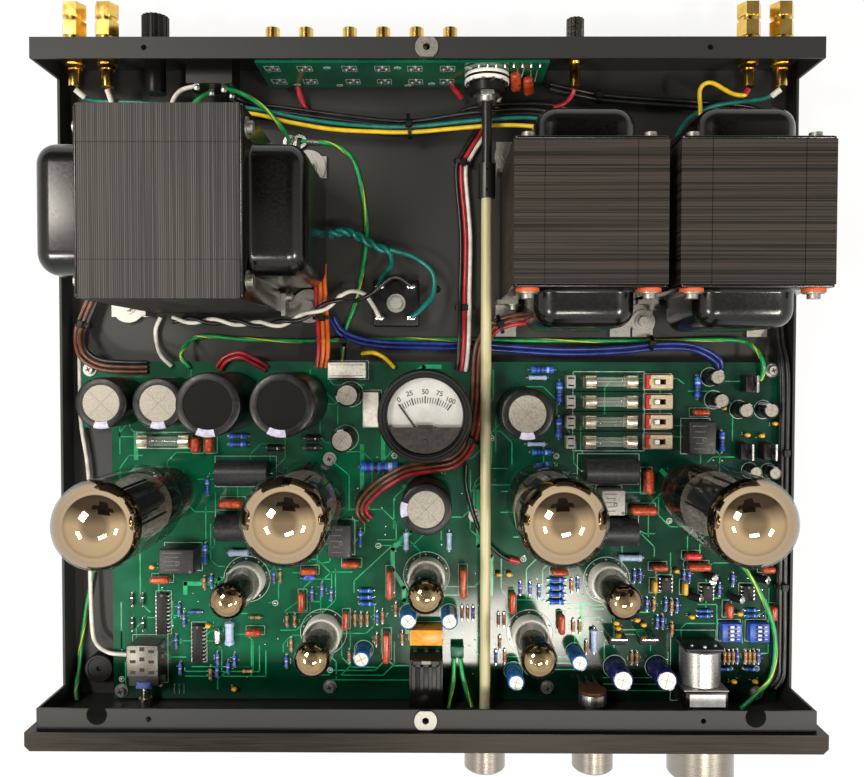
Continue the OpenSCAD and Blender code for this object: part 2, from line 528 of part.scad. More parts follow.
// The four feet and eight bolt heads of a core, with the stack along X
module core_hardware(w, h, stack, bell_w, leg, washer_r, washer_t) {
    face = stack / 2 + flange_t;
    foot_w = (w - bell_w) / 2;
    inset = w / 10;
    for (s = [0, 180], y = [-1, 1]) rotate([0, 0, s]) translate([face, y * (bell_w / 2 + bell_fillet + 0.4), 0]) {
        translate([0, y * foot_w / 2, 0]) core_foot(foot_w, leg, washer_r);
    }
    for (s = [0, 180], y = [-1, 1]) rotate([0, 0, s]) {
        translate([face + (s == 0 ? washer_t : 0), y * (w / 2 - inset), core_lift + h - inset]) rotate([0, 90, 0]) screw(3.4);
        translate([face + bracket_t, y * (w / 2 - inset), core_lift + inset]) rotate([0, 90, 0]) screw(3.2);
    }
}
fibre_t = 2;
mains_leg = 26;
mains_washer_r = 10.5;
output_leg = 22;
output_washer_r = 7.5;

module steel_hardware() {
    color("silver") {
        for (y = [front_y + lip_d / 2, rear_y - lip_d / 2]) translate([0, y, 0]) lip_insert();
        translate([mains_place[0], mains_place[1], floor_z])
            core_hardware(mains_w, mains_h, mains_stack, mains_bell_w, mains_leg, mains_washer_r, 0);
        for (p = output_places) translate([p[0], p[1], floor_z]) rotate([0, 0, -90])
            core_hardware(output_w, output_h, output_stack, output_bell_w, output_leg, output_washer_r, fibre_t);
        translate([bridge_place[0], bridge_place[1], floor_z + bridge_h]) screw(3.6);
        for (p = standoff_places) on_board(p) screw(2.6);
        translate([-85, rear_y - 47.5, floor_z]) screw(3.4);
    }
}

module main_board() {
    color("seagreen") translate([0, board_y, board_z - board_t]) linear_extrude(board_t)
        polygon([[-board_left, 0], [board_right, 0], [board_right, board_d], [-board_ear, board_d],
            [-board_ear, board_ear_y], [-board_left, board_ear_y]]);
}

standoff_places = [[-190, 5], [-60, 8], [75, 8], [205, 5], [-190, 100], [30, 115], [212, 115], [-208, 205],
    [-60, 150], [212, 205]];
module board_standoffs() {
    color("silver") for (p = standoff_places)
        translate([p[0], board_y + p[1], floor_z]) cylinder(r = 3, h = standoff_h, $fn = 6);
}

input_left = -98;
input_right = 70;
input_low = 4;
input_high = 46;
module input_board() {
    color("seagreen") translate([input_left, input_y - board_t, floor_z + input_low])
        cube([input_right - input_left, board_t, input_high - input_low]);
}

module rca_jacks() {
    color("gold") for (x = rca_x, i = [0, 1]) translate([x, input_y, rca_low + i * rca_row]) difference() {
        union() {
            translate([-6, 0, -6]) cube([12, input_gap, 12]);
            bar_back(rca_r, input_gap + sheet_t + rca_reach);
            translate([0, input_gap + sheet_t, 0]) bar_back(6, 2);
        }
        translate([0, input_gap + sheet_t + 2, 0]) rotate([-90, 0, 0]) difference() {
            cylinder(r = rca_r - 0.7, h = rca_reach);
            translate([0, 0, -1]) cylinder(r = 2.4, h = rca_reach - 0.5);
        }
        translate([0, input_gap + 2, 0]) bar_back(1.6, rca_reach + 4);
    }
}

ground_r = 3;
collar_l = 9;
// A post's fixed stem with its collar outside and its nut and lug inside
module post_stem() {
    difference() {
        union() {
            translate([0, -sheet_t - post_in, 0]) bar_back(post_r, sheet_t + post_in + post_reach);
            bar_back(6.4, collar_l);
            translate([0, -sheet_t - 5, 0]) bar_back(5.8, 5);
            translate([0, -sheet_t - 8, 0]) rotate([-90, 0, 0]) cylinder(r = 5, h = 3, $fn = 6);
        }
        translate([0, post_reach - plug_l, 0]) bar_back(plug_r, plug_l + 1);
    }
}

module binding_posts() {
    color("gold") for (x = [-post_x - post_pitch, -post_x, post_x, post_x + post_pitch])
        translate([x, rear_y, post_z]) post_stem();
    color("gray") translate([ground_x, rear_y, post_z]) {
        translate([0, -sheet_t - post_in, 0]) bar_back(ground_r, sheet_t + post_in + ground_reach);
        translate([0, -sheet_t - 4, 0]) rotate([-90, 0, 0]) cylinder(r = 5.5, h = 4, $fn = 6);
    }
}
ground_reach = 20;

// Hexagon thumb nut that turns on its stem
module post_nut(x) {
    color("gold") translate([x, rear_y + collar_l + clear, post_z]) rotate([-90, 0, 0]) difference() {
        l = post_reach - collar_l - clear;
        union() {
            cylinder(r = post_nut_d / 2, h = l * 0.45, $fn = 6);
            cylinder(r = post_nut_d * 0.4, h = l * 0.6);
            translate([0, 0, l * 0.6]) cylinder(r = post_nut_d / 2, h = l * 0.4, $fn = 6);
        }
        translate([0, 0, -1]) cylinder(r = post_r + running, h = l + 2);
    }
}
module post_nut_1() { post_nut(-post_x - post_pitch); }
module post_nut_2() { post_nut(-post_x); }
module post_nut_3() { post_nut(post_x); }
module post_nut_4() { post_nut(post_x + post_pitch); }

// Round bar with shallow flutes, along +Z
module fluted(r, l, n) {
    difference() {
        cylinder(r = r, h = l);
        for (i = [0:n - 1]) rotate([0, 0, 360 * i / n]) translate([r + 0.25, 0, -1]) cylinder(r = 0.8, h = l + 2, $fn = 16);
    }
}

module ground_nut() {
    color("gray") translate([ground_x, rear_y + clear, post_z]) rotate([-90, 0, 0]) difference() {
        fluted(5.2, ground_reach - clear, 12);
        translate([0, 0, -1]) cylinder(r = ground_r + running, h = ground_reach + 2);
    }
}

fuse_neck_r = 6;
fuse_flange_t = 3;
fuse_body_l = 22;
module fuse_holder() {
    color("black") translate([fuse_holder_x, rear_y, post_z]) difference() {
        union() {
            translate([0, -sheet_t - fuse_body_l, 0]) bar_back(fuse_neck_r, sheet_t + fuse_body_l);
            bar_back(fuse_cap_r + 1, fuse_flange_t);
        }
        translate([0, -sheet_t - fuse_body_l + 4, 0]) bar_back(fuse_pin_r + running, 60);
    }
}
fuse_pin_r = 4.4;
fuse_cap_l = 18;
module fuse_cap() {
    color("black") translate([fuse_holder_x, rear_y + fuse_flange_t + clear, post_z]) {
        rotate([-90, 0, 0]) fluted(fuse_cap_r, fuse_cap_l, 18);
        bar_front(fuse_pin_r, 16);
    }
}

inlet_w = 27;
inlet_h = 20;
inlet_in = 19;
inlet_well = 16;
module power_inlet() {
    color("black") translate([inlet_x, rear_y, post_z]) {
        difference() {
            union() {
                translate([-inlet_w / 2, -sheet_t - inlet_in, -inlet_h / 2]) cube([inlet_w, sheet_t + inlet_in, inlet_h]);
                rotate([-90, 0, 0]) linear_extrude(2) rounded(inlet_w + 6, inlet_h + 6, 3);
            }
            translate([-12.2, 2 - inlet_well, -8.6]) cube([24.4, inlet_well + 1, 17.2]);
        }
        for (p = [[0, 3], [-7, -3], [7, -3]])
            translate([p[0] - 1, 2 - inlet_well, p[1] - 2]) cube([2, inlet_well - 5, 4]);
    }
}

flange_t = 1.5;
mains_bell_w = 68;
mains_bell_h = 86;
output_bell_w = 54;
output_bell_h = 72;
seam = 0.4;

// Stack of laminations with its thickness along X and its joint lines across the top
module core(w, h, stack) {
    difference() {
        translate([-stack / 2, -w / 2, 0]) cube([stack, w, h]);
        for (s = [-1, 1]) translate([-stack / 2 - 1, s * w * 0.3 - seam / 2, h - seam]) cube([stack + 2, seam, 1]);
    }
}

bell_corner = 12;
bell_round = 10;
bell_fillet = 2;
flange_corner = 2;
corner_steps = 5;
// Outline of a bell at one depth: a rectangle with round corners
function bell_ring(w, h, r, x) = [for (c = [0:3], k = [0:corner_steps])
    let (a = 90 * c + 90 * k / corner_steps, y = c == 0 || c == 3 ? 1 : -1, z = c < 2 ? 1 : -1)
    [x, y * (w / 2 - r) + r * cos(a), z * (h / 2 - r) + r * sin(a)]];
function bell_step(w, h, e, x) = bell_ring(w + 2 * e, h + 2 * e, max(bell_corner + e, 1), x);

// Drawn end bell with its flange on x = 0 and its crown toward +X
module bell(w, h, d, face_w, face_h) {
    edge = [for (x = [0, flange_t]) bell_ring(face_w, face_h, flange_corner, x)];
    root = [for (a = [0:30:90]) bell_step(w, h, bell_fillet * (1 - sin(a)), flange_t + bell_fillet * (1 - cos(a)))];
    crown = [for (a = [0:15:90]) bell_step(w, h, -bell_round * (1 - cos(a)), d - bell_round * (1 - sin(a)))];
    translate([0, 0, face_h / 2]) loft(concat(edge, root, crown));
}

module mains_core() {
    color("dimgray") translate([mains_place[0], mains_place[1], floor_z + core_lift])
        core(mains_w, mains_h, mains_stack);
}

module mains_bells() {
    color("black") translate([mains_place[0], mains_place[1], floor_z + core_lift]) for (s = [0, 180]) rotate([0, 0, s])
        translate([mains_stack / 2, 0, 0]) bell(mains_bell_w, mains_bell_h, mains_bell_d, mains_w, mains_h);
}

module output_cores() {
    color("dimgray") for (p = output_places) translate([p[0], p[1], floor_z + core_lift]) rotate([0, 0, -90])
        core(output_w, output_h, output_stack);
}

module output_bells() {
    color("black") for (p = output_places, s = [-90, 90]) translate([p[0], p[1], floor_z + core_lift]) rotate([0, 0, s])
        translate([output_stack / 2, 0, 0]) bell(output_bell_w, output_bell_h, output_bell_d, output_w, output_h);
}

// Insulating rings under the front bolt heads of the output transformers
module fibre_washers() {
    inset = output_w / 10;
    face = output_stack / 2 + flange_t;
    color("orangered") for (p = output_places, x = [-1, 1])
        translate([p[0] + x * (output_w / 2 - inset), p[1] - face, floor_z + core_lift + output_h - inset])
            bar_front(6.2, fibre_t);
}

bridge_w = 28.5;
bridge_h = 11;
module bridge_rectifier() {
    color("black") translate([bridge_place[0], bridge_place[1], floor_z]) {
        linear_extrude(bridge_h) rounded(bridge_w, bridge_w, 2);
        for (x = [-9.5, 9.5], y = [-9.5, 9.5]) translate([x - 3, y - 0.4, bridge_h]) cube([6, 0.8, 11]);
    }
}

socket_h = 12;
base_h = 22;
base_r = 18;
glass_t = 1.2;
// Half outline of a bulb, from its foot to its crown
function bulb_line(r, h, neck, dome) = concat([[0, 0], [neck, 0], [neck, 3], [r, 9]],
    [for (a = [0:10:90]) [r * cos(a), h - dome + dome * sin(a)]]);

module bulb(r, h, neck, dome) {
    rotate_extrude() difference() {
        polygon(bulb_line(r, h, neck, dome));
        translate([0, glass_t]) polygon(bulb_line(r - glass_t, h - 2 * glass_t, neck - glass_t, dome - glass_t));
    }
}

module power_tube_glass() {
    color("tan", 0.5) for (p = power_tubes) on_board(p) translate([0, 0, socket_h + base_h])
        bulb(bulb_d / 2, bulb_h, base_r - 0.8, 19);
}

module power_tube_bases() {
    for (p = power_tubes) on_board(p) {
        color("saddlebrown") cylinder(r = 15.5, h = socket_h);
        color("black") translate([0, 0, socket_h]) cylinder(r = base_r, h = base_h);
    }
}

small_socket_h = 11;
module small_tube_glass() {
    color("tan", 0.5) for (p = small_tubes) on_board(p) translate([0, 0, small_socket_h]) {
        bulb(small_bulb_d / 2, small_bulb_h - 4, small_bulb_d / 2 - 1, 8);
        translate([0, 0, small_bulb_h - 4]) cylinder(r1 = 2.2, r2 = 0.8, h = 4);
    }
}

module small_tube_sockets() {
    color("white") for (p = small_tubes) on_board(p) difference() {
        cylinder(r = 11.5, h = small_socket_h);
        translate([0, 0, small_socket_h - 4]) difference() {
            cylinder(r = 10.9, h = 5);
            translate([0, 0, -1]) cylinder(r = 9.5, h = 5);
        }
    }
}

// Stem, anode and mica discs inside a bulb
module plates(stem_r, stem_h, anode, mica_r, mica_t) {
    cylinder(r = stem_r, h = stem_h);
    translate([0, 0, stem_h]) {
        cylinder(r = mica_r, h = mica_t);
        translate([0, 0, mica_t]) linear_extrude(anode[2]) rounded(anode[0], anode[1], anode[1] * 0.3);
        translate([0, 0, mica_t + anode[2]]) cylinder(r = mica_r, h = mica_t);
    }
}

module tube_plates() {
    color("gray") {
        for (p = power_tubes) on_board(p) translate([0, 0, socket_h + base_h + glass_t])
            plates(7, bulb_h * 0.15, [30, 16, bulb_h * 0.52], bulb_d * 0.4, 1);
        for (p = small_tubes) on_board(p) translate([0, 0, small_socket_h + glass_t])
            plates(4, small_bulb_h * 0.12, [13, 8, small_bulb_h * 0.45], small_bulb_d * 0.38, 0.8);
    }
}

module filter_caps() {
    for (p = black_caps) on_board(p) color("black") cylinder(r = p[2], h = p[3]);
    for (p = silver_caps) on_board(p) {
        color("black") difference() {
            cylinder(r = p[2], h = p[3]);
            translate([0, 0, p[3] - 1.2]) cylinder(r = p[2] * 0.8, h = 2);
        }
        color("silver") translate([0, 0, p[3] - 1.2]) cylinder(r = p[2] * 0.79, h = 0.8);
    }
}

module blue_caps() {
    color("royalblue") for (p = small_blue_caps) on_board(p) cylinder(r = p[2], h = p[3]);
}

module film_caps() {
    color("dimgray") for (p = film_parts) on_board(p)
        translate([-film_l / 2, 0, p[2] / 2]) rotate([0, 90, 0]) cylinder(d = p[2], h = film_l);
}

module dipped_caps() {
    color("chocolate") for (p = dipped_parts) on_board(p) aligned(p[5])
        linear_extrude(p[4]) rounded(p[2], p[3], p[3] * 0.49);
    color("goldenrod") for (p = bead_parts) on_board(p) cylinder(r = 1.9, h = 5);
}

buzzer_place = [-206, 17];
module box_parts() {
    color("ivory") {
        for (p = box_items) on_board(p) block(p[2], p[3], p[4]);
        for (y = fuse_rows) on_board([gate_x, y]) block(5.4, 8, 9);
    }
    color("black") translate([buzzer_place[0], board_y + buzzer_place[1], floor_z]) cylinder(r = 9, h = 8);
}

// Round part lying on the board along X
module lying(l, d) {
    translate([-l / 2, 0, d / 2]) rotate([0, 90, 0]) cylinder(d = d, h = l);
}

module resistors() {
    color("cornflowerblue") for (p = blue_resistors) on_board(p) aligned(p[4]) lying(p[2], p[3]);
    color("rosybrown") for (p = tan_resistors) on_board(p) aligned(1) lying(tan_l, tan_d);
    color("black") for (p = diodes) on_board(p) aligned(1) lying(tan_l, tan_d);
}

module relays_and_chips() {
    color("dimgray") {
        for (p = relay_parts) on_board(p) linear_extrude(p[4]) rounded(p[2], p[3], 0.8);
        for (p = chip_parts) on_board(p) block(p[2], p[3], p[4]);
        for (p = tab_parts) on_board(p) {
            translate([0, -1.1, 0]) block(10, 4.4, 10);
            translate([0, 1.8, 0]) block(10, 1.4, 16);
        }
    }
}

fuse_r = 3.2;
fuse_z = 7.2;
clip_l = 7;
module fuse_set(p) {
    on_board(p) {
        for (s = [-1, 1]) translate([s * (fuse_l / 2 - clip_l / 2), 0, 0]) {
            block(clip_l - 1, 2 * fuse_r + 1.6, fuse_z - fuse_r - 0.2);
            for (y = [-1, 1]) translate([0, y * (fuse_r + 0.5), fuse_z - fuse_r - 0.2]) block(clip_l - 1, 0.6, fuse_r + 3);
            translate([-clip_l / 2, 0, fuse_z]) rotate([0, 90, 0]) cylinder(r = fuse_r, h = clip_l);
        }
        translate([-fuse_l / 2 + clip_l, 0, fuse_z]) rotate([0, 90, 0]) cylinder(r = fuse_r - 0.3, h = fuse_l - 2 * clip_l);
    }
}

module fuses() {
    color("silver") {
        for (y = fuse_rows) fuse_set([fuse_x, y]);
        fuse_set(left_fuse);
    }
}

lever_w = 2.6;
slot_h = 3;
module board_switches() {
    color("firebrick") for (y = fuse_rows) on_board([switch_x, y]) difference() {
        block(switch_size[0], switch_size[1], switch_size[2]);
        translate([0, 0, switch_size[2] - slot_h]) block(lever_travel + lever_w + 2 * clear, lever_w + 2 * clear, slot_h + 1);
    }
    color("royalblue") for (p = dip_places) on_board(p) {
        block(dip_size[0], dip_size[1], dip_size[2]);
        for (i = [-1.5:1.5]) translate([0, i * 2.54, dip_size[2]]) block(2.2, 1.3, 0.6);
    }
}

// Lever at the left end of its slot, on the slot's floor
module bias_lever(i) {
    color("white") on_board([switch_x - lever_travel / 2, fuse_rows[i]])
        translate([0, 0, switch_size[2] - slot_h + running]) block(lever_w, lever_w, slot_h + 2.5);
}
module bias_lever_1() { bias_lever(0); }
module bias_lever_2() { bias_lever(1); }
module bias_lever_3() { bias_lever(2); }
module bias_lever_4() { bias_lever(3); }

meter_rim = 2.2;
dial_z = meter_h - 7;
pivot_r = 0.8;
module meter_case() {
    r = meter_d / 2;
    color("black") on_board(meter_place) difference() {
        rotate_extrude() polygon([[0, 0], [r - 6, 0], [r - 6, meter_h - 14], [r, meter_h - 12], [r, meter_h - 1.5],
            [r - 1.2, meter_h], [0, meter_h]]);
        translate([0, 0, dial_z - 1]) cylinder(r = r - meter_rim, h = 20);
    }
}

// Dial plate with its pivot pin, and the cover over the movement
module meter_dial() {
    r = meter_d / 2 - meter_rim - 0.05;
    color("white") on_board(meter_place) translate([0, 0, dial_z - 1]) {
        cylinder(r = r, h = 1);
        translate([0, -needle_drop, 1]) cylinder(r = pivot_r, h = 2.2);
        translate([0, 0, 3.2]) intersection() {
            cylinder(r = r, h = 1.4);
            translate([-r, -r, 0]) cube([2 * r, r - 7, 1.4]);
        }
    }
}

module meter_needle() {
    color("black") on_board(meter_place) translate([0, -needle_drop, dial_z + 0.5]) rotate([0, 0, needle_rest]) difference() {
        union() {
            cylinder(r = 2.4, h = 1.2);
            translate([-0.45, 0, 0.4]) cube([0.9, needle_l, 0.5]);
            translate([-0.9, -6, 0.4]) cube([1.8, 6, 0.5]);
        }
        translate([0, 0, -1]) cylinder(r = pivot_r + running, h = 4);
    }
}

pot_d = 12;
pot_start = 4;
motor_l = 22;
shaft_in = 8;
module volume_control() {
    color("silver") translate([volume_x, board_y, 0]) difference() {
        union() {
            translate([-12.5, pot_start, board_z]) cube([25, pot_d, control_h + 12.5]);
            translate([0, pot_start + pot_d, board_z + 13]) bar_back(12, motor_l);
            translate([0, pot_start, control_z]) bar_front(4.6, pot_start + board_gap);
        }
        translate([0, pot_start + shaft_in, control_z]) bar_front(shaft_r + running, 40);
    }
}

module balance_pot() {
    color("silver") translate([balance_x, board_y, 0]) difference() {
        union() {
            translate([0, pot_start + 9, control_z]) bar_front(8.5, 9);
            translate([-6, pot_start + 1, board_z]) cube([12, 7, control_h - 4]);
            translate([0, pot_start, control_z]) bar_front(4.6, pot_start + board_gap);
        }
        translate([0, pot_start + shaft_in, control_z]) bar_front(shaft_r + running, 40);
    }
}

// Turned knob with its back face on y = 0, an edge chamfer and a pointer dot
module knob(d, l, bore_r, bore_l) {
    difference() {
        rotate([90, 0, 0]) rotate_extrude() polygon([[0, 0], [d / 2, 0], [d / 2, l - 1.2], [d / 2 - 1.2, l], [0, l]]);
        translate([0, 1, 0]) bar_front(bore_r, bore_l + 1);
        translate([0, 0.8 - l, d * 0.36]) bar_front(1.2, 2);
    }
}

knob_bore_l = 13;
// Knob on its shaft, which starts inside the control
module knob_and_shaft(x, d, l) {
    start = board_y + pot_start + shaft_in - clear;
    back = face_y - knob_gap;
    translate([x, 0, control_z]) {
        translate([0, back, 0]) knob(d, l, shaft_r + running, knob_bore_l);
        translate([0, start, 0]) bar_front(shaft_r, start - back + knob_bore_l);
    }
}

module volume_knob() { color("gainsboro") knob_and_shaft(volume_x, volume_knob_d, volume_knob_l); }
module balance_knob() { color("gainsboro") knob_and_shaft(balance_x, small_knob_d, small_knob_l); }

switch_l = 17;
coupler_l = 20;
coupler_y = rear_y - 66;
module selector_switch() {
    color("white") translate([selector_x, input_y - board_t, control_z]) difference() {
        union() {
            bar_front(13.2, 6);
            translate([0, -6, 0]) bar_front(10.8, 6);
            translate([0, -12, 0]) bar_front(5.6, switch_l - 12);
        }
        translate([0, -4, 0]) bar_front(shaft_r + running, 40);
    }
}

// Switch shaft, coupler and the long extension rod
module selector_rod() {
    start = input_y - board_t - 4 - clear;
    back = face_y - knob_gap;
    translate([selector_x, 0, control_z]) {
        color("black") {
            translate([0, start, 0]) bar_front(shaft_r, start - coupler_y + coupler_l / 2 - 0.5);
            translate([0, coupler_y, 0]) difference() {
                bar_front(5.2, coupler_l);
                translate([0, 1, 0]) bar_front(shaft_r + running, coupler_l / 2 + 0.5);
                translate([0, -coupler_l / 2 - 0.5, 0]) bar_front(rod_r + running, coupler_l);
                for (y = [0.2, 0.8]) translate([0, -y * coupler_l, 2]) cylinder(r = 0.9, h = 5);
            }
        }
        color("palegoldenrod") translate([0, coupler_y - coupler_l / 2 - 0.5, 0])
            bar_front(rod_r, coupler_y - coupler_l / 2 - 0.5 - back + knob_bore_l);
    }
}

module selector_knob() {
    color("gainsboro") translate([selector_x, face_y - knob_gap, control_z])
        knob(small_knob_d, small_knob_l, rod_r + running, knob_bore_l);
}

switch_body = [19, 26, 15];
module power_switch() {
    color("silver") on_board([power_x, 12 + switch_body[1] / 2]) difference() {
        block(switch_body[0], switch_body[1], switch_body[2]);
        translate([0, -switch_body[1] / 2 + 12, power_z - board_z]) bar_front(2.5 + running, 20);
    }
}

module power_button() {
    start = board_y + 12 + 12 - button_travel - clear;
    stem_end = board_y + 8 - button_travel;
    color("royalblue") translate([power_x, 0, power_z]) {
        translate([0, start, 0]) bar_front(2.5, start - stem_end);
        translate([0, stem_end, 0]) bar_front(button_d / 2, stem_end - face_y + button_travel + 1);
    }
}

phone_l = 32;
module headphone_jack() {
    color("black") on_board([0, 0]) difference() {
        union() {
            translate([-10, 0, 0]) cube([20, phone_l, 21]);
            translate([0, 0, phone_z - board_z]) bar_front(phone_nose_r, board_gap + sheet_t + faceplate_t);
        }
        translate([0, phone_l - 4, phone_z - board_z]) bar_front(phone_r, 80);
    }
}

module rear_wiring() {
    color("green") {
        lead(earth_in);
        lead(earth_left);
    }
    color("white") lead(white_in);
    color("gold") {
        lead(yellow_left);
        lead(yellow_right);
    }
    color("teal") {
        lead(teal_left);
        lead(teal_right);
    }
    color("black") {
        lead(black_back);
        lead(black_floor);
    }
    color("crimson") {
        lead(red_signal);
        lead(ground_pair);
    }
}

module supply_wiring() {
    teal_path = smooth_path(laid(teal_core), 10);
    mains_path = smooth_path(laid(mains_pair), 9);
    color("green") {
        lead(earth_run);
        lead(green_run);
    }
    color("teal") {
        sweep(concat(twisted(teal_path, twist_r, 3, 0), smooth_path(laid(teal_end_a), lead_steps)), lead_r);
        sweep(concat(twisted(teal_path, twist_r, 3, 180), smooth_path(laid(teal_end_b), lead_steps)), lead_r);
    }
    color("white") sweep(concat(twisted(mains_path, twist_r, 4, 180), smooth_path(laid(white_end), lead_steps)), lead_r);
    color("black") sweep(concat(twisted(mains_path, twist_r, 4, 0), smooth_path(laid(black_end), lead_steps)), lead_r);
    color("orange") for (s = [-1:1]) lead(orange_run, s * lead_pitch);
    color("blue") for (s = [0, 1]) lead(blue_run, s * lead_pitch);
}

module board_wiring() {
    color("black") lead(black_loop);
    color("sienna") for (s = [-1:1]) lead(meter_run, s * lead_pitch);
    color("white") for (s = [0:2]) lead(centre_run, -s * lead_pitch);
    color("crimson") lead(red_loop);
    color("gold") lead(yellow_loop);
    color("green") {
        lead(front_earth_a);
        lead(front_earth_b);
        lead(right_earth);
    }
}

module side_wiring() {
    color("sienna") lead(brown_run);
    color("white") {
        lead(white_run);
        lead(left_white);
    }
    color("green") lead(left_earth);
    color("black") for (s = [0, 1], z = [0, 1]) lead(harness, s * lead_pitch, z * lead_pitch);
}

bottom_pan();
rear_panel();
front_panel();
faceplate();
rubber_feet();
steel_hardware();
main_board();
board_standoffs();
input_board();
rca_jacks();
binding_posts();
fuse_holder();
power_inlet();
mains_core();
mains_bells();
output_cores();
output_bells();
fibre_washers();
bridge_rectifier();
power_tube_glass();
power_tube_bases();
small_tube_glass();
small_tube_sockets();
tube_plates();
filter_caps();
blue_caps();
film_caps();
dipped_caps();
box_parts();
resistors();
relays_and_chips();
fuses();
board_switches();
meter_case();
meter_dial();
volume_control();
balance_pot();
selector_switch();
power_switch();
headphone_jack();
rear_wiring();
supply_wiring();
board_wiring();
side_wiring();
volume_knob();
balance_knob();
selector_rod();
selector_knob();
power_button();
meter_needle();
bias_lever_1();
bias_lever_2();
bias_lever_3();
bias_lever_4();
post_nut_1();
post_nut_2();
post_nut_3();
post_nut_4();
ground_nut();
fuse_cap();
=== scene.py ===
# %% [markdown]
# A tube integrated amplifier, seen with its top cover off. The solids of every
# piece are already packed as a frame, so this lesson only dresses them: it loads
# the frame, lights it, gives each kept solid a finish, and models the small parts
# whose real shape is richer than their solid.

# %% Load the frame
import math
import random

import bmesh
import bpy
from mathutils import Matrix, Vector


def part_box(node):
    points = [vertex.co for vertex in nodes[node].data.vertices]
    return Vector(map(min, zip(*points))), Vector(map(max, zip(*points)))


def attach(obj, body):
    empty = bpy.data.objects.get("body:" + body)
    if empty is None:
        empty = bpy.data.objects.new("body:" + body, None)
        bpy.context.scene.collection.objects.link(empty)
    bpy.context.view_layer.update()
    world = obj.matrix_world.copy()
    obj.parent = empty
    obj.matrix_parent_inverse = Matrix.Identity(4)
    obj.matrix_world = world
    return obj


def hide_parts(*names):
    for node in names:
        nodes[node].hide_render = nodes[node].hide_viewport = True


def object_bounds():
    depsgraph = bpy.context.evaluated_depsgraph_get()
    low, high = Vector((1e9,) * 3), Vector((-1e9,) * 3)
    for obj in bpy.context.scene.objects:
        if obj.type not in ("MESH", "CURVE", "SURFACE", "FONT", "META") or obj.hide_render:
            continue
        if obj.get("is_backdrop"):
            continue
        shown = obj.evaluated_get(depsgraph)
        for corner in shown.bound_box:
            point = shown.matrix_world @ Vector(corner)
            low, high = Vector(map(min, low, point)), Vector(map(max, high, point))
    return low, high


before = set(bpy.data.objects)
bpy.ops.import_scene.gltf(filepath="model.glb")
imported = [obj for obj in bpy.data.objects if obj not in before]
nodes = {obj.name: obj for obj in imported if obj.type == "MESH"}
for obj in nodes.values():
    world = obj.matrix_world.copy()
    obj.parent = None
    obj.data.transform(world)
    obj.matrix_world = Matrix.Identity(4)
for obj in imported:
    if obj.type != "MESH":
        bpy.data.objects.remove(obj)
cad_low, cad_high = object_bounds()
print("solids", len(nodes), "size in mm", [round(1000 * s, 1) for s in cad_high - cad_low])

# %% [markdown]
# The photograph looks straight down from a little over half a metre. A camera could
# be aimed by eye, but the case has enough known corners to work its place out, so
# the numbers are simply typed here. The lens is a mild wide angle, which is why tall
# pieces such as the tubes lean away from the middle of the picture.

# %% Camera
scene = bpy.context.scene
scene.view_settings.view_transform = "Standard"
lens = bpy.data.cameras.new("photo_lens")
lens.lens = 34.64
lens.sensor_width = 36.0
lens.clip_start = 0.01
camera = bpy.data.objects.new("photo_camera", lens)
camera.location = (0.00594, 0.0150, 0.5376)
camera.rotation_euler = [math.radians(a) for a in (-1.500, 0.313, 0.096)]
scene.collection.objects.link(camera)
scene.camera = camera
print("camera height in mm", round(1000 * camera.location.z))

# %% [markdown]
# Every finish is a small graph of shader nodes. Wiring one by hand takes a line per
# value and per link, so a few helpers take a node's inputs as a dictionary: a plain
# value is typed in, and another node or one of its outputs is linked in.

# %% Shader helpers
def paint(code):
    """A colour as it looks on a screen, written as six hex digits."""
    seen = [int(code[i:i + 2], 16) / 255 for i in (0, 2, 4)]
    return [c / 12.92 if c < 0.04045 else ((c + 0.055) / 1.055) ** 2.4 for c in seen] + [1.0]


def feed(tree, made, inputs):
    """Gives a node's inputs plain values, or what other nodes put out."""
    for key, value in inputs.items():
        if isinstance(value, bpy.types.Node):
            value = next(out for out in value.outputs if out.enabled)
        if isinstance(value, bpy.types.NodeSocket):
            tree.links.new(value, made.inputs[key])
        else:
            made.inputs[key].default_value = value
    return made


def node(tree, kind, inputs=None, **settings):
    made = tree.nodes.new("ShaderNode" + kind)
    for key, value in settings.items():
        setattr(made, key, value)
    return feed(tree, made, inputs or {})


def found(tree, kind):
    return next(made for made in tree.nodes if made.bl_idname == "ShaderNode" + kind)


# %% [markdown]
# Patterns are worked out in the graph as sums are on paper: arithmetic, a span of values
# stretched onto another, a colour picked by a value, two colours blended. Each gets a
# helper named for what it does, so a finish reads as a short list of steps.

# %% Shader arithmetic
def reckon(tree, operation, *values):
    return node(tree, "Math", dict(enumerate(values)), operation=operation)


def remap(tree, value, source=(0, 1), target=(0, 1)):
    """Stretches one span of values onto another."""
    ends = dict(zip(("From Min", "From Max", "To Min", "To Max"), (*source, *target)))
    return node(tree, "MapRange", {"Value": value, **ends})


def ramp(tree, value, stops):
    """A colour picked from (position, colour) stops."""
    made = node(tree, "ValToRGB", {"Fac": value})
    row = made.color_ramp.elements
    while len(row) < len(stops):
        row.new(1)
    for stop, (position, colour) in zip(row, stops):
        stop.position, stop.color = position, colour
    return made


def blend(tree, factor, a, b, how="MIX"):
    inputs = {"Factor": factor, "A": a, "B": b}
    return node(tree, "Mix", inputs, data_type="RGBA", blend_type=how)


def axes_of(tree, kind="Object"):
    place = node(tree, "TexCoord").outputs[kind]
    return node(tree, "SeparateXYZ", {"Vector": place}).outputs


# %% [markdown]
# A studio lights such a picture with soft boxes in a pale room. The room is the world,
# pale at the horizon, bright in front, and dark above and behind, where the picture is
# taken. The main box is in front and above, so the front lip throws its shadow on the
# board and the glossy board catches the box as a pale glare. The boxes at the sides are
# too far out to be seen in the board, so they light the parts without adding glare.

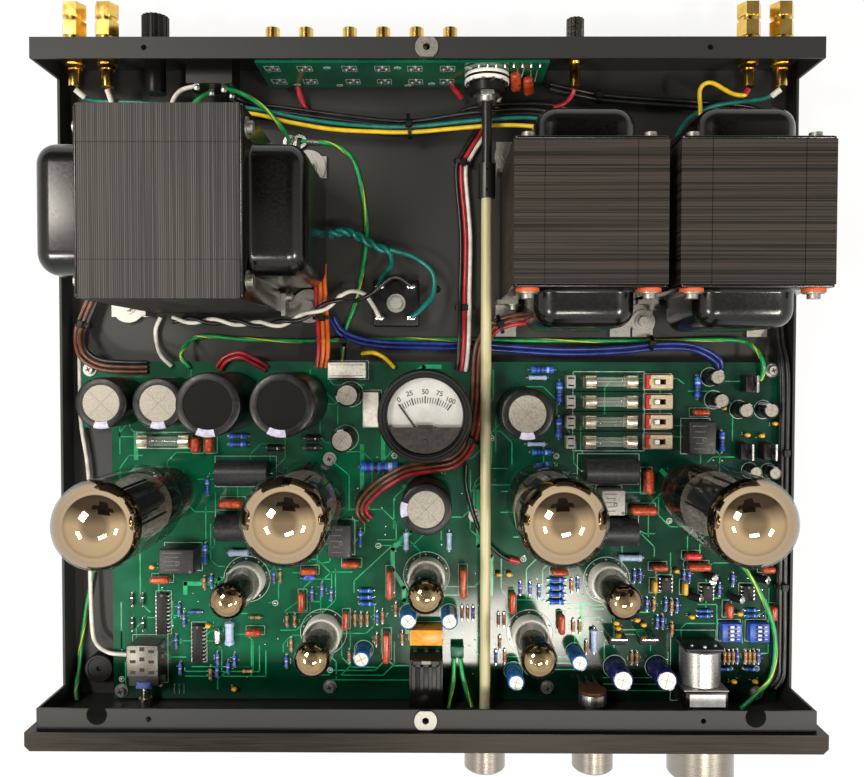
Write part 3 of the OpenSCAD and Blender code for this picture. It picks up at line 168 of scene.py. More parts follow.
# %% World and lamps
room = bpy.data.worlds.new("pale_room")
room.use_nodes = True
tree = room.node_tree
axes = axes_of(tree, "Generated")
HORIZON, WALLS = 0.19, 0.26
sky = [(HORIZON, 1.0, 0), (WALLS, 0.72, 1), (0.45, 0.95, 1), (0.80, 0.92, 1), (0.93, 0.40, 1)]
tones = [(rise, (level, (1 - 0.05 * warmth) * level, (1 - 0.14 * warmth) * level, 1))
         for rise, level, warmth in sky]
behind = remap(tree, axes["Y"], (0.0, 0.55), (1.0, 0.12))
above = remap(tree, axes["Z"], (HORIZON, WALLS))
strength = node(tree, "Mix", {"Factor": above, "A": 1.0, "B": behind})
feed(tree, tree.nodes["Background"], {"Color": ramp(tree, axes["Z"], tones), "Strength": strength})
scene.world = room

WARM_WHITE = (1.0, 0.94, 0.85)
for name, place, aim, size, watts in [
        ("front_box", (0.16, -0.54, 1.25), (0.02, -0.05, 0.03), (0.36, 0.14), 6.0),
        ("back_box", (-0.66, 0.34, 1.15), (-0.05, 0.0, 0.05), (0.36, 0.30), 9.3),
        ("left_box", (-0.85, -0.42, 1.15), (-0.05, -0.05, 0.05), (0.30, 0.14), 8),
        ("right_box", (0.88, -0.42, 1.15), (0.05, -0.05, 0.05), (0.30, 0.14), 9.5)]:
    lamp = bpy.data.lights.new(name, "AREA")
    lamp.shape, lamp.energy, lamp.color = "RECTANGLE", watts, WARM_WHITE
    lamp.size, lamp.size_y = size
    box = bpy.data.objects.new(name, lamp)
    box.location = place
    box.rotation_euler = (Vector(aim) - Vector(place)).to_track_quat("-Z", "Y").to_euler()
    scene.collection.objects.link(box)

# %% [markdown]
# The amplifier stands on white paper. Paper lit like the amplifier would come out
# grey, so what the camera and mirrors see of it is mostly its own white, and a small
# share of plain lit paper is left in, which keeps the shadow under the case. Right
# under the case it has no white of its own, so holes in the pan look dark.

# %% Floor
OWN_WHITE = 0.85
UNDER_CASE = {"X": 0.215, "Y": 0.190}
paper = bpy.data.materials.new("white_paper")
paper.use_nodes = True
tree = paper.node_tree
lit = tree.nodes["Principled BSDF"]
fibres = node(tree, "TexNoise", {"Scale": 300})
feed(tree, lit, {"Base Color": remap(tree, fibres, target=(0.86, 0.90)), "Roughness": 0.9})
rays = node(tree, "LightPath").outputs
seen = reckon(tree, "MAXIMUM", rays["Is Camera Ray"], rays["Is Glossy Ray"])
seen = reckon(tree, "MAXIMUM", seen, rays["Is Transmission Ray"])
axes = axes_of(tree)
beyond = [reckon(tree, "GREATER_THAN", reckon(tree, "ABSOLUTE", axes[axis]), reach)
          for axis, reach in UNDER_CASE.items()]
share = reckon(tree, "MULTIPLY", reckon(tree, "MULTIPLY", seen, OWN_WHITE),
               reckon(tree, "MAXIMUM", *beyond))
both = node(tree, "MixShader", {"Fac": share, 1: lit, 2: node(tree, "Emission")})
feed(tree, tree.nodes["Material Output"], {"Surface": both})


def card(name, w, d, place, coat):
    bm = bmesh.new()
    bmesh.ops.create_grid(bm, x_segments=1, y_segments=1, size=0.5)
    bmesh.ops.scale(bm, vec=(w, d, 1), verts=bm.verts)
    bmesh.ops.translate(bm, vec=place, verts=bm.verts)
    sheet = bpy.data.meshes.new(name)
    bm.to_mesh(sheet)
    bm.free()
    sheet.materials.append(coat)
    obj = bpy.data.objects.new(name, sheet)
    scene.collection.objects.link(obj)
    obj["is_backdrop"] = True
    print(name, w, "by", d, "m")


card("paper_floor", 6.0, 6.0, (0, 0, -0.0002), paper)

# %% [markdown]
# Most finishes in here are mottled: powder coat, plating, solder mask and moulded
# plastic all wander a little in tone and gloss. One helper makes them, from a noise
# that runs on object coordinates in grains of a given size in millimetres. A stretch
# turns the grains into brush marks or lamination lines. Values that are even all
# over go straight to the shader's own sockets. Finishes that differ only in colour
# are made as a family, each from its name, its dark tone and its light tone.

# %% Mottled finishes
coats = {}


def finish(name, dark, light, grain, rough, metal=0.0, bump=0.0, stretch=(1, 1, 1),
           detail=3.0, spread=0.15, shine=0.5):
    mat = bpy.data.materials.new(name)
    mat.use_nodes = True
    tree = mat.node_tree
    place = node(tree, "TexCoord").outputs["Object"]
    grains = node(tree, "Mapping", {"Vector": place, "Scale": stretch})
    noise = node(tree, "TexNoise", {"Vector": grains, "Scale": 1000 / grain, "Detail": detail})
    tones = [(0.5 - spread, paint(dark)), (0.5 + spread, paint(light))]
    looks = {"Base Color": ramp(tree, noise, tones), "Roughness": remap(tree, noise, (0.3, 0.7), rough),
             "Metallic": metal, "Specular IOR Level": shine}
    if bump:
        relief = {"Strength": 0.6, "Distance": bump / 1000, "Height": noise}
        looks["Normal"] = node(tree, "Bump", relief)
    feed(tree, tree.nodes["Principled BSDF"], looks)
    coats[name] = mat
    return mat


def family(grain, rough, *rows, **more):
    for row in rows:
        finish(*row.split(), grain, rough, **more)


finish("powder_black", "1b1c1c", "2c2d2c", 0.5, (0.42, 0.6), bump=0.06, shine=0.35)
finish("face_anodised", "262422", "34312e", 0.35, (0.34, 0.46), metal=1.0, bump=0.006, stretch=(0.012, 1, 1))
finish("foot_rubber", "141414", "1e1e1e", 0.8, (0.75, 0.9), bump=0.04)
finish("zinc_plate", "8f8d88", "a9a7a1", 0.7, (0.40, 0.55), metal=1.0)
finish("gold_plate", "dcb258", "f0cc78", 7.0, (0.16, 0.26), metal=1.0)
finish("plastic_black", "0a0a0a", "121212", 0.6, (0.28, 0.42), bump=0.01, shine=0.3)
finish("fibre_orange", "a8431d", "cc5c2c", 0.7, (0.5, 0.7), bump=0.02)
finish("nickel_turned", "958f88", "9f9a92", 0.3, (0.26, 0.30), metal=1.0, stretch=(0.02, 1, 0.02))
finish("nickel_dark", "4a4846", "6a6764", 1.2, (0.18, 0.30), metal=1.0)
finish("bell_enamel", "060606", "0a0908", 1.6, (0.16, 0.22), bump=0.012, detail=1.0)
finish("lever_white", "d8d6cf", "ecebe6", 0.8, (0.35, 0.5), bump=0.01)
finish("needle_black", "101010", "1b1b1b", 0.4, (0.45, 0.6))
finish("tin_bright", "b8b8b6", "e2e2e0", 0.8, (0.14, 0.30), metal=1.0, bump=0.02)
finish("pot_metal", "a8a8a6", "d0d0cd", 1.0, (0.25, 0.42), metal=1.0, bump=0.008, stretch=(1, 0.05, 1))
finish("wafer_white", "d2d0c8", "e6e4dd", 1.2, (0.4, 0.55), bump=0.01)
print("finishes", len(coats))

# %% [markdown]
# The silvered tops of the tubes are small round mirrors that show the room above them.
# An even room would leave them flat, so two dark cards hang over the back of the case,
# one along its depth and one across it, as a studio shapes a reflection with black card.

# %% Dark cards
finish("shade_dark", "0b0908", "15110e", 60.0, (0.8, 0.9))
card("dark_card_long", 0.30, 0.62, (0.04, 0.50, 0.64), coats["shade_dark"])
card("dark_card_across", 0.58, 0.16, (0.03, 0.37, 0.60), coats["shade_dark"])

# %% [markdown]
# A transformer core is hundreds of thin steel sheets on edge, dipped in brown
# varnish. Modelling every sheet would cost thousands of faces, so the lines come from
# a noise that is squeezed to sheet thickness along the stack and stretched along the
# sheets. The output cores are stacked along Y and the mains core along X. The sheets of
# the mains core are laid in pairs, so a regular wave with the pitch of a pair, a little
# over a millimetre, is laid over its noise.

# %% Laminated cores
PAIR_WAVE = 296
finish("core_output", "050303", "312a24", 0.7, (0.40, 0.62), bump=0.22, stretch=(0.003, 1, 0.003),
       spread=0.12, shine=0.35)
tree = finish("core_mains", "080707", "393734", 0.6, (0.45, 0.65), bump=0.20, stretch=(1, 0.003, 0.003),
              detail=1.0, spread=0.08, shine=0.35).node_tree
pairs = node(tree, "TexWave", {"Vector": found(tree, "TexCoord").outputs["Object"], "Scale": PAIR_WAVE})
gaps = remap(tree, pairs.outputs["Fac"], target=(0.05, 1.75))
lined = blend(tree, 1.0, found(tree, "ValToRGB"), gaps, "MULTIPLY")
feed(tree, tree.nodes["Principled BSDF"], {"Base Color": lined})
print("pair pitch in mm", round(1000 * math.tau / (20 * PAIR_WAVE), 2))

# %% [markdown]
# Solder mask is a glossy green lacquer. Over copper it looks lighter than over bare
# board, and the whole board is brighter at the left, so two colour ramps on one noise
# and a slow change along X share the colour. The strip under the front lip lies in the
# lip's shadow and is nearly black, so that shadow is painted in: the colour is dimmed
# there. The board stays glossy, which lets it catch the soft box.

# %% Circuit boards
LEFT_TO_RIGHT, LIP_SHADOW_STRIP = (-0.10, 0.12), (-0.169, -0.161)


def board_lacquer(name, left, right):
    tree = finish(name, *left, 26.0, (0.09, 0.15), detail=4.0, shine=0.34).node_tree
    axes = axes_of(tree)
    tones = [(0.35, paint(right[0])), (0.65, paint(right[1]))]
    darker = ramp(tree, found(tree, "TexNoise"), tones)
    across = remap(tree, axes["X"], LEFT_TO_RIGHT)
    green = blend(tree, across, found(tree, "ValToRGB"), darker)
    # Painted shadow of the front lip: the colour is dimmed over the strip under it.
    edge = remap(tree, axes["Y"], LIP_SHADOW_STRIP, (0.35, 1))
    place = found(tree, "TexCoord").outputs["Object"]
    weave = node(tree, "TexNoise", {"Vector": place, "Scale": 900})
    relief = node(tree, "Bump", {"Strength": 0.12, "Distance": 0.00003, "Height": weave})
    feed(tree, tree.nodes["Principled BSDF"],
         {"Base Color": blend(tree, 1.0, green, edge, "MULTIPLY"), "Normal": relief})


board_lacquer("board_green", ("084a30", "0d5c40"), ("062c20", "0b3c2b"))
board_lacquer("input_green", ("0b4a33", "125c40"), ("0b4a33", "125c40"))
print("lacquers", [name for name in coats if name.endswith("_green")])

# %% [markdown]
# The long selector rod is a cream plastic rod with a black coupler and a black switch
# shaft behind it. They turn as one solid, so one material splits the colour by depth
# at the coupler's front end.

# %% Selector rod
COUPLER_FRONT = 0.1151
tree = finish("rod_two_tone", "a39d78", "b8b28c", 3.0, (0.30, 0.45), bump=0.01,
              stretch=(1, 0.05, 1)).node_tree
coupler = reckon(tree, "GREATER_THAN", axes_of(tree)["Y"], COUPLER_FRONT)
split = blend(tree, coupler, found(tree, "ValToRGB"), paint("121212"))
feed(tree, tree.nodes["Principled BSDF"], {"Base Color": split})

# %% [markdown]
# Solids whose shape is already right keep it and only get a finish. The mesh of such
# a node is never touched: the material goes into the object's slots.

# %% Dress the kept solids
kept = {
    "powder_black": ["bottom_pan", "rear_panel", "front_panel"],
    "face_anodised": ["faceplate"],
    "foot_rubber": ["rubber_feet"],
    "zinc_plate": ["steel_hardware", "board_standoffs"],
    "board_green": ["main_board"],
    "input_green": ["input_board"],
    "gold_plate": ["rca_jacks", "binding_posts", "post_nut_1", "post_nut_2", "post_nut_3", "post_nut_4"],
    "plastic_black": ["fuse_holder", "fuse_cap", "power_inlet"],
    "core_mains": ["mains_core"],
    "core_output": ["output_cores"],
    "fibre_orange": ["fibre_washers"],
    "nickel_turned": ["volume_knob", "balance_knob", "selector_knob", "power_button"],
    "nickel_dark": ["ground_nut"],
    "needle_black": ["meter_needle"],
    "lever_white": ["bias_lever_1", "bias_lever_2", "bias_lever_3", "bias_lever_4"],
    "rod_two_tone": ["selector_rod"],
}
for coat, names in kept.items():
    for name in names:
        for place in nodes[name].material_slots:
            place.material = coats[coat]
print("dressed", sum(len(v) for v in kept.values()), "solids")

# %% [markdown]
# The small parts repeat many times, so each is modelled once as a stencil and then
# stamped into one mesh per kind. Shapes are drawn in millimetres round their own
# axis, and a finished piece is scaled to metres once, with its place already in the
# mesh, so that patterns on object coordinates never slide.

# %% Places and stencils
def spun(angle, axis="Z", size=4):
    return Matrix.Rotation(math.radians(angle), size, axis)


def box_mm(name):
    """The low and the high corner of a solid's box, in millimetres."""
    return [1000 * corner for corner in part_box(name)]


board_front = 1000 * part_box("main_board")[0].y
board_top = 1000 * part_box("main_board")[1].z
pan_floor = 1000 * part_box("board_standoffs")[0].z
ALONG_X, ALONG_FRONT, ALONG_BACK = spun(90, "Y"), spun(90, "X"), spun(-90, "X")


def at(x, y, z=0.0):
    """A place on the board, from the middle of its front edge, in millimetres."""
    return Vector((x, board_front + y, board_top + z))


def stencil(bm, tint=None):
    """Keeps a shape for stamping, with a finish given by number or by place."""
    if tint is not None:
        for face in bm.faces:
            face.material_index = tint(face.calc_center_median()) if callable(tint) else tint
    mesh = bpy.data.meshes.new("stencil")
    bm.to_mesh(mesh)
    bm.free()
    return mesh


print("board top at", round(board_top, 2), "front edge at", round(board_front, 2))

# %% [markdown]
# Nearly every part in here is either turned or moulded. A turned part is a half outline
# spun once round its axis, and a moulded one is a block with its edges bevelled. Discs
# and washers come up so often that they get a short name of their own.

# %% Turned and moulded shapes
def turned(line, steps=24, tint=0):
    """A shape turned about Z from (radius, height) points."""
    bm = bmesh.new()
    verts = [bm.verts.new((r, 0, z)) for r, z in line]
    edges = [bm.edges.new(pair) for pair in zip(verts, verts[1:])]
    bmesh.ops.spin(bm, geom=verts + edges, axis=(0, 0, 1), cent=(0, 0, 0), angle=math.tau,
                   steps=steps, use_merge=True)
    bmesh.ops.remove_doubles(bm, verts=bm.verts, dist=0.001)
    bmesh.ops.recalc_face_normals(bm, faces=bm.faces)
    return stencil(bm, tint)


def disc(r, h, steps, tint=0, z=0):
    return turned([(0, z), (r, z), (r, z + h), (0, z + h)], steps, tint)


def washer(inner, outer, low, high, steps, tint=0):
    line = [(inner, low), (outer, low), (outer, high), (inner, high), (inner, low)]
    return turned(line, steps, tint)


def boxed(w, d, h, edge=0.3, steps=2, tint=0):
    """A block on z = 0 with its edges rounded off."""
    bm = bmesh.new()
    bmesh.ops.create_cube(bm, size=1)
    bmesh.ops.scale(bm, vec=(w, d, h), verts=bm.verts)
    bmesh.ops.translate(bm, vec=(0, 0, h / 2), verts=bm.verts)
    if edge:
        bmesh.ops.bevel(bm, geom=bm.edges[:], offset=edge, affect="EDGES", segments=steps,
                        profile=0.5, material=-1)
    return stencil(bm, tint)


# %% [markdown]
# Stamping copies a stencil into a mesh and moves only the new points. A finished mesh
# is smoothed up to an angle, so that crisp edges stay crisp, and mounted: it gets its
# finishes, rides on the chassis, and stands for the plain solids that it covers.

# %% Stamps and mounts
def stamp(bm, mesh, place, turn=0.0, lay=None, size=(1, 1, 1)):
    first = len(bm.verts)
    bm.from_mesh(mesh)
    bm.verts.ensure_lookup_table()
    move = Matrix.Translation(place) @ spun(turn) @ (lay or Matrix()) @ Matrix.Diagonal((*size, 1))
    bmesh.ops.transform(bm, matrix=move, verts=bm.verts[first:])


def blocks(bm, origin, *rows):
    """Blocks at x, y, z from an origin, each followed by what boxed takes."""
    for x, y, z, *shape in rows:
        stamp(bm, boxed(*shape), Vector(origin) + Vector((x, y, z)))


def rod(bm, a, b, r, tint=0, sides=8):
    """A straight round bar between two places."""
    a, b = Vector(a), Vector(b)
    along = (b - a).to_track_quat("Z", "Y").to_matrix().to_4x4()
    stamp(bm, disc(r, (b - a).length, sides, tint), a, lay=along)


def mount(name, data, names, stands_for):
    """Puts a finished shape in the scene, with its finishes and body."""
    for coat in names.split():
        data.materials.append(coats[coat])
    obj = bpy.data.objects.new(name, data)
    scene.collection.objects.link(obj)
    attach(obj, "chassis")
    if stands_for:
        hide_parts(*stands_for)


def piece(name, bm, names, stands_for=(), angle=35):
    bmesh.ops.scale(bm, vec=(0.001,) * 3, verts=bm.verts)
    mesh = bpy.data.meshes.new(name)
    bm.to_mesh(mesh)
    bm.free()
    mesh.shade_smooth()
    mesh.set_sharp_from_angle(angle=math.radians(angle))
    mount(name, mesh, names, stands_for)
    print(name, len(mesh.polygons), "faces")


# %% [markdown]
# The end bells are deep-drawn steel cups with a flat flange, round corners and a soft
# crown. A box with a bevel would miss the flare at the flange, so the bell is a skin
# over a row of round-cornered outlines: each outline is a rectangle whose corners are
# bevelled, and neighbouring outlines are bridged.

# %% Outlines and skins
FLANGE, FLARE, CORNER, CROWN = 1.5, 2, 12, 10


def outline(bm, w, h, corner, z):
    verts = bmesh.ops.create_grid(bm, x_segments=1, y_segments=1, size=0.5)["verts"]
    bmesh.ops.scale(bm, vec=(w, h, 1), verts=verts)
    bmesh.ops.translate(bm, vec=(0, 0, z), verts=verts)
    made = bmesh.ops.bevel(bm, geom=verts, offset=corner, offset_type="OFFSET", affect="VERTICES",
                           segments=8, profile=0.5, material=-1)
    return next(f for f in bm.faces if made["verts"][0] in f.verts)


def skin(rings):
    """A closed skin over outlines, the first and the last being its two ends."""
    bm = bmesh.new()
    faces = [outline(bm, *ring) for ring in rings]
    loops = [face.edges[:] for face in faces]
    bmesh.ops.delete(bm, geom=faces[1:-1], context="FACES_ONLY")
    for a, b in zip(loops, loops[1:]):
        bmesh.ops.bridge_loops(bm, edges=a + b)
    bmesh.ops.recalc_face_normals(bm, faces=bm.faces)
    return bm


# %% [markdown]
# From the flange to the crown a bell is a plate with dulled edges, a quarter-round that
# flares out of it, a straight wall, and a larger quarter-round that closes it. The same
# outline serves all three transformers, and each bell stands against its core.

# %% End bells
def bell(w, h, depth, plate_w, plate_h):
    rings = [(plate_w - cut, plate_h - cut, 2, z)
             for cut, z in ((0.6, 0), (0, 0.3), (0, 1.2), (0.6, FLANGE))]
    for a in (0, 30, 60, 90):
        grow = FLARE * (1 - math.sin(math.radians(a)))
        rise = FLARE * (1 - math.cos(math.radians(a)))
        rings.append((w + 2 * grow, h + 2 * grow, CORNER + grow, FLANGE + rise))
    for a in (0, 15, 30, 45, 60, 75, 90):
        cut = CROWN * (1 - math.cos(math.radians(a)))
        drop = CROWN * (1 - math.sin(math.radians(a)))
        rings.append((w - 2 * cut, h - 2 * cut, CORNER - cut, depth - drop))
    return stencil(skin(rings))


def facing(turn):
    """Stands a bell up on its flange's edge, its crown toward +X turned by an angle."""
    return spun(turn) @ Matrix(((0, 0, 1, 0), (1, 0, 0, 0), (0, 1, 0, 0), (0, 0, 0, 1)))


low, high = box_mm("mains_core")
bm = bmesh.new()
shape = bell(68, 86, 30, high.y - low.y, high.z - low.z)
for turn, x in ((0, high.x), (180, low.x)):
    stamp(bm, shape, (x, (low.y + high.y) / 2, (low.z + high.z) / 2), lay=facing(turn))
piece("mains_bell_pair", bm, "bell_enamel", ["mains_bells"], angle=50)

STACK_W = 79.4
low, high = box_mm("output_cores")
bm = bmesh.new()
shape = bell(54, 72, 21.5, STACK_W, high.z - low.z)
for x in (low.x + STACK_W / 2, high.x - STACK_W / 2):
    for y, turn in ((high.y, 90), (low.y, -90)):
        stamp(bm, shape, (x, y, (low.z + high.z) / 2), lay=facing(turn))
piece("output_bell_set", bm, "bell_enamel", ["output_bells"], angle=50)

# %% [markdown]
# The rectifier is a square potted block on the pan with four tinned blades standing
# up, and a large screw through its middle. The block and the blades have different
# finishes, so they are one piece with two slots.

# %% Bridge rectifier
low, high = box_mm("bridge_rectifier")
middle = (low + high) / 2
bm = bmesh.new()
seat = (middle.x, middle.y, low.z)
blocks(bm, seat, (0, 0, 0, 28.5, 28.5, 11, 1.2, 3))
for x in (-9.5, 9.5):
    for y in (-9.5, 9.5):
        blocks(bm, seat, (x, y, 10.8, 6, 0.8, 10, 0.25, 1, 1), (x, y, 15.4, 5.0, 3.0, 6.5, 0.9, 2, 1))
piece("rectifier_block", bm, "plastic_black tin_bright", ["bridge_rectifier"])

# %% [markdown]
# A power tube is a blown glass bulb on a black base. Its crown is silvered on the
# inside by the getter, a thin metal flash that reads as a bronze mirror from above
# and thins out to a burnt, ragged edge. Thick refracting glass would be slow and
# noisy, so the bulb is a thin clear shell that grows denser toward its rim, and the
# mirror is a second skin just inside it whose edge is broken up by noise.

# %% Glass and getter
def clear_glass(name, dark, light, least, most):
    tree = finish(name, dark, light, 14.0, (0.015, 0.05), stretch=(1, 1, 0.2)).node_tree
    rim = node(tree, "LayerWeight", {"Blend": 0.30}).outputs["Facing"]
    feed(tree, tree.nodes["Principled BSDF"],
         {"Alpha": remap(tree, rim, target=(least, most)), "IOR": 1.52})


def getter_mirror(name, edge_z, fade, whole, burnt, between):
    """Mirror that is whole above a height, in metres, and breaks up below it."""
    tree = finish(name, whole, whole, 9.0, (0.02, 0.05), metal=1.0).node_tree
    place = found(tree, "TexCoord").outputs["Object"]
    ragged = node(tree, "TexNoise", {"Vector": place, "Scale": 260, "Detail": 4})
    wander = remap(tree, ragged, target=(-fade * 0.8, fade * 0.8))
    level = reckon(tree, "ADD", axes_of(tree)["Z"], wander)
    burn = remap(tree, level, (edge_z, edge_z + 2.5 * fade))
    tones = [(0, paint(burnt)), (0.45, paint(between)), (1, paint(whole))]
    feed(tree, tree.nodes["Principled BSDF"],
         {"Alpha": remap(tree, level, (edge_z, edge_z + fade)), "Base Color": ramp(tree, burn, tones)})


SEAT, SMALL_SEAT = 34, 11
clear_glass("bulb_clear", "0a0a0a", "141412", 0.10, 0.70)
getter_mirror("bulb_mirror", (board_top + SEAT + 71.5) / 1000, 0.0028, "e6c9a2", "1e1611", "846748")
finish("anode_grey", "2b2b2c", "434344", 2.0, (0.45, 0.65), metal=0.6, bump=0.02)
finish("mica_pale", "5b584f", "78746a", 1.5, (0.25, 0.4), bump=0.01)
finish("base_black", "120f0e", "1e1a18", 1.5, (0.22, 0.36), bump=0.01)
finish("socket_brown", "2c211b", "44342b", 1.0, (0.4, 0.55), bump=0.015)
print("finishes", len(coats))

# %% [markdown]
# The bulb's half outline is typed once: a neck that sits in the base, a shoulder, the
# long barrel and an elliptic crown. Spinning it gives the glass, and the upper part of
# the same outline, a little smaller, gives the mirror.

# %% Power tubes
power_tubes = [(-160, 129), (-68, 131), (68, 131), (160, 131)]


def crown(r, start, rise, first, last, steps):
    spread = [math.radians(first + (last - first) * k / steps) for k in range(steps + 1)]
    return [(r * math.cos(a), start + rise * math.sin(a)) for a in spread]


barrel = [(0, 0), (17.2, 0), (17.2, 2.4), (18.2, 4.4), (20.6, 7.2), (22.2, 9.8), (22.8, 13), (22.8, 60)]
bulb = turned(barrel + crown(22.8, 72, 19, 0, 90, 12)[:-1] + [(0, 91)], 48)
outside, inside = crown(22.1, 72, 18.3, 6, 90, 12), crown(21.8, 72, 18.0, 90, 6, 12)
flash = turned(outside[:-1] + [(0, 90.3), (0, 90.0)] + inside[1:], 48)
foot = turned([(0, 0), (13.5, 0), (15.5, 0.8), (15.5, 10.5), (14.8, 12), (0, 12)], 32, 1)
base = turned([(0, 12), (16.6, 12), (18, 13), (18, 30.5), (17.6, 31.5), (17.6, 33), (17.1, 34), (0, 34)], 40)
stem = turned([(0, 0), (7, 0), (6, 12), (4, 15), (0, 15)], 20, 1)
anode = boxed(30, 15, 47, 2.2, 2)
fin = boxed(38, 0.8, 44, 0.2, 1)
rib = boxed(1.2, 16.4, 45, 0.3, 1)
mica = disc(18.2, 0.7, 32, 1)
glass_bm, mirror_bm, base_bm, plate_bm, socket_bm = (bmesh.new() for _ in range(5))
for x, y in power_tubes:
    lean = 40 if x < 0 else -40
    stamp(glass_bm, bulb, at(x, y, SEAT))
    stamp(mirror_bm, flash, at(x, y, SEAT))
    stamp(base_bm, foot, at(x, y))
    stamp(base_bm, base, at(x, y))
    stamp(plate_bm, anode, at(x, y, 51), turn=lean)
    stamp(plate_bm, fin, at(x, y, 52.5), turn=lean)
    for side in (-8, 0, 8):
        stamp(plate_bm, rib, at(x, y, 52) + spun(lean, size=3) @ Vector((side, 0, 0)), turn=lean)
    for shape, z in ((mica, 50), (mica, 98.2), (stem, 35.2)):
        stamp(plate_bm, shape, at(x, y, z))
    for a in range(0, 360, 90):
        spot = at(x, y) + spun(a + lean, size=3) @ Vector((12, 9, 0))
        rod(plate_bm, spot + Vector((0, 0, 44)), spot + Vector((0, 0, 101)), 0.7, 0, 6)
print("power tubes", len(power_tubes))

# %% [markdown]
# The small tubes are the same idea at half the size, drawn to a sealed tip at the
# crown. They stand in white ceramic sockets, and their mirror comes further down the
# side.

# %% Small tubes
small_tubes = [(-111.5, 75), (-64, 42), (0, 78), (64, 42), (111.5, 75)]
getter_mirror("small_mirror", (board_top + SMALL_SEAT + 33) / 1000, 0.004, "d0b48a", "17110d", "6d5640")
finish("socket_white", "cfcdc4", "e8e7e1", 1.2, (0.25, 0.4), bump=0.01)
wall = [(0, 0), (9.3, 0), (10.2, 1.2), (10.5, 4), (10.5, 36.5)]
tip = [(2.4, 44.6), (2.0, 45.6), (1.8, 46.8), (1.3, 48.3), (0.6, 48.9), (0, 49)]
small_bulb = turned(wall + crown(10.5, 37, 7.6, 8, 74, 7) + tip, 36)
outside, inside = crown(10.1, 36.8, 7.3, 8, 78, 7), crown(9.9, 36.7, 7.1, 78, 8, 7)
ends = [(10.1, 33), (10.1, 36.6)], [(0, 44.1), (0, 43.9)], [(9.9, 33)]
small_flash = turned(ends[0] + outside + ends[1] + inside + ends[2], 36, 1)
cup = [(0, 0), (11.5, 0), (11.5, 10.2), (11.1, 11), (10.0, 11), (9.6, 10.6), (9.6, 7), (0, 7)]
small_socket = turned(cup, 36)
small_anode = boxed(6.2, 9, 21, 1.2, 2)
small_mica = disc(8, 0.6, 24, 1)
small_stem = turned([(0, 0), (4, 0), (3, 6), (0, 6)], 16, 1)
for x, y in small_tubes:
    stamp(glass_bm, small_bulb, at(x, y, SMALL_SEAT))
    stamp(mirror_bm, small_flash, at(x, y, SMALL_SEAT))
    stamp(socket_bm, small_socket, at(x, y))
    for side in (-3.6, 3.6):
        stamp(plate_bm, small_anode, at(x + side, y, 19.5))
    for shape, z in ((small_mica, 18.6), (small_mica, 41), (small_stem, 12.2)):
        stamp(plate_bm, shape, at(x, y, z))
piece("tube_glass_shells", glass_bm, "bulb_clear", ["power_tube_glass", "small_tube_glass"],
      angle=60)
piece("tube_getters", mirror_bm, "bulb_mirror small_mirror", angle=60)
piece("tube_bases_turned", base_bm, "base_black socket_brown", ["power_tube_bases"])
piece("tube_anodes", plate_bm, "anode_grey mica_pale", ["tube_plates"])
piece("ceramic_sockets", socket_bm, "socket_white", ["small_tube_sockets"])

# %% [markdown]
# Electrolytic capacitors are deep-drawn cans in a shrunk plastic sleeve. The sleeve
# rolls over the rim as a thin lip, and inside it the bare aluminium top is scored with
# a cross that lets it vent. One outline is spun for each size, and faces are given
# their finish by where they lie.

# %% Can shapes
finish("sleeve_black", "09090a", "111112", 3.0, (0.28, 0.42), shine=0.3)
family(3.0, (0.22, 0.36), "sleeve_blue 12529a 1c6cb8", "sleeve_violet 150f4a 211a64")
finish("can_top", "7c7871", "979389", 0.9, (0.42, 0.56), metal=0.6)
finish("can_bright", "bcb8b0", "d6d3cc", 0.9, (0.42, 0.56), metal=0.5)
# The vent cross is darker metal that paints the shade in its grooves.
finish("vent_grey", "6a665f", "827e76", 0.8, (0.4, 0.55), metal=0.6)
finish("cap_dark", "070707", "0c0b0b", 1.2, (0.45, 0.6), bump=0.01, shine=0.10)
family(2.0, (0.25, 0.38), "stripe_lilac a9a6c4 c2c0d6", "stripe_white c8ccd4 e0e3e8")
STRIPE, GROOVE_SHADE = 2, 3


def can(r, h, lip, sleeve=0, top=1):
    """A sleeved can, with a finish for its sleeve, its bare top and its printed stripe."""
    rim = r * (1 - lip)
    line = [(0, 0), (r - 0.3, 0), (r, 0.5), (r, 1.6), (r - 0.45, 2.3), (r, 3.0), (r, h - 1.1),
            (r - 0.3, h - 0.35), (r - 0.9, h), (rim, h - 0.15), (rim - 0.15, h - 0.5),
            (rim * 0.5, h - 0.5), (0, h - 0.5)]

    def tint(c):
        if math.hypot(c.x, c.y) < rim - 0.05 and c.z > h / 2:
            return top
        return STRIPE if abs(math.atan2(c.y, c.x)) < 0.24 and c.z > 0 else sleeve

    return turned(line, 40, tint)


def vent(r, h):
    """The scored cross on a can's top: two thin strips, darker to paint the shade of its grooves."""
    bm = bmesh.new()
    for turn in (0, 90):
        stamp(bm, boxed(1.5 * r, 0.35, 0.12, 0, 1), (0, 0, h - 0.55), turn=turn)
    return stencil(bm, GROOVE_SHADE)


# %% [markdown]
# The large cans smooth the supply, and the small ones stand beside the parts they serve.
# Two of the large ones have a dark top, and the blue ones at the front have a bright one.

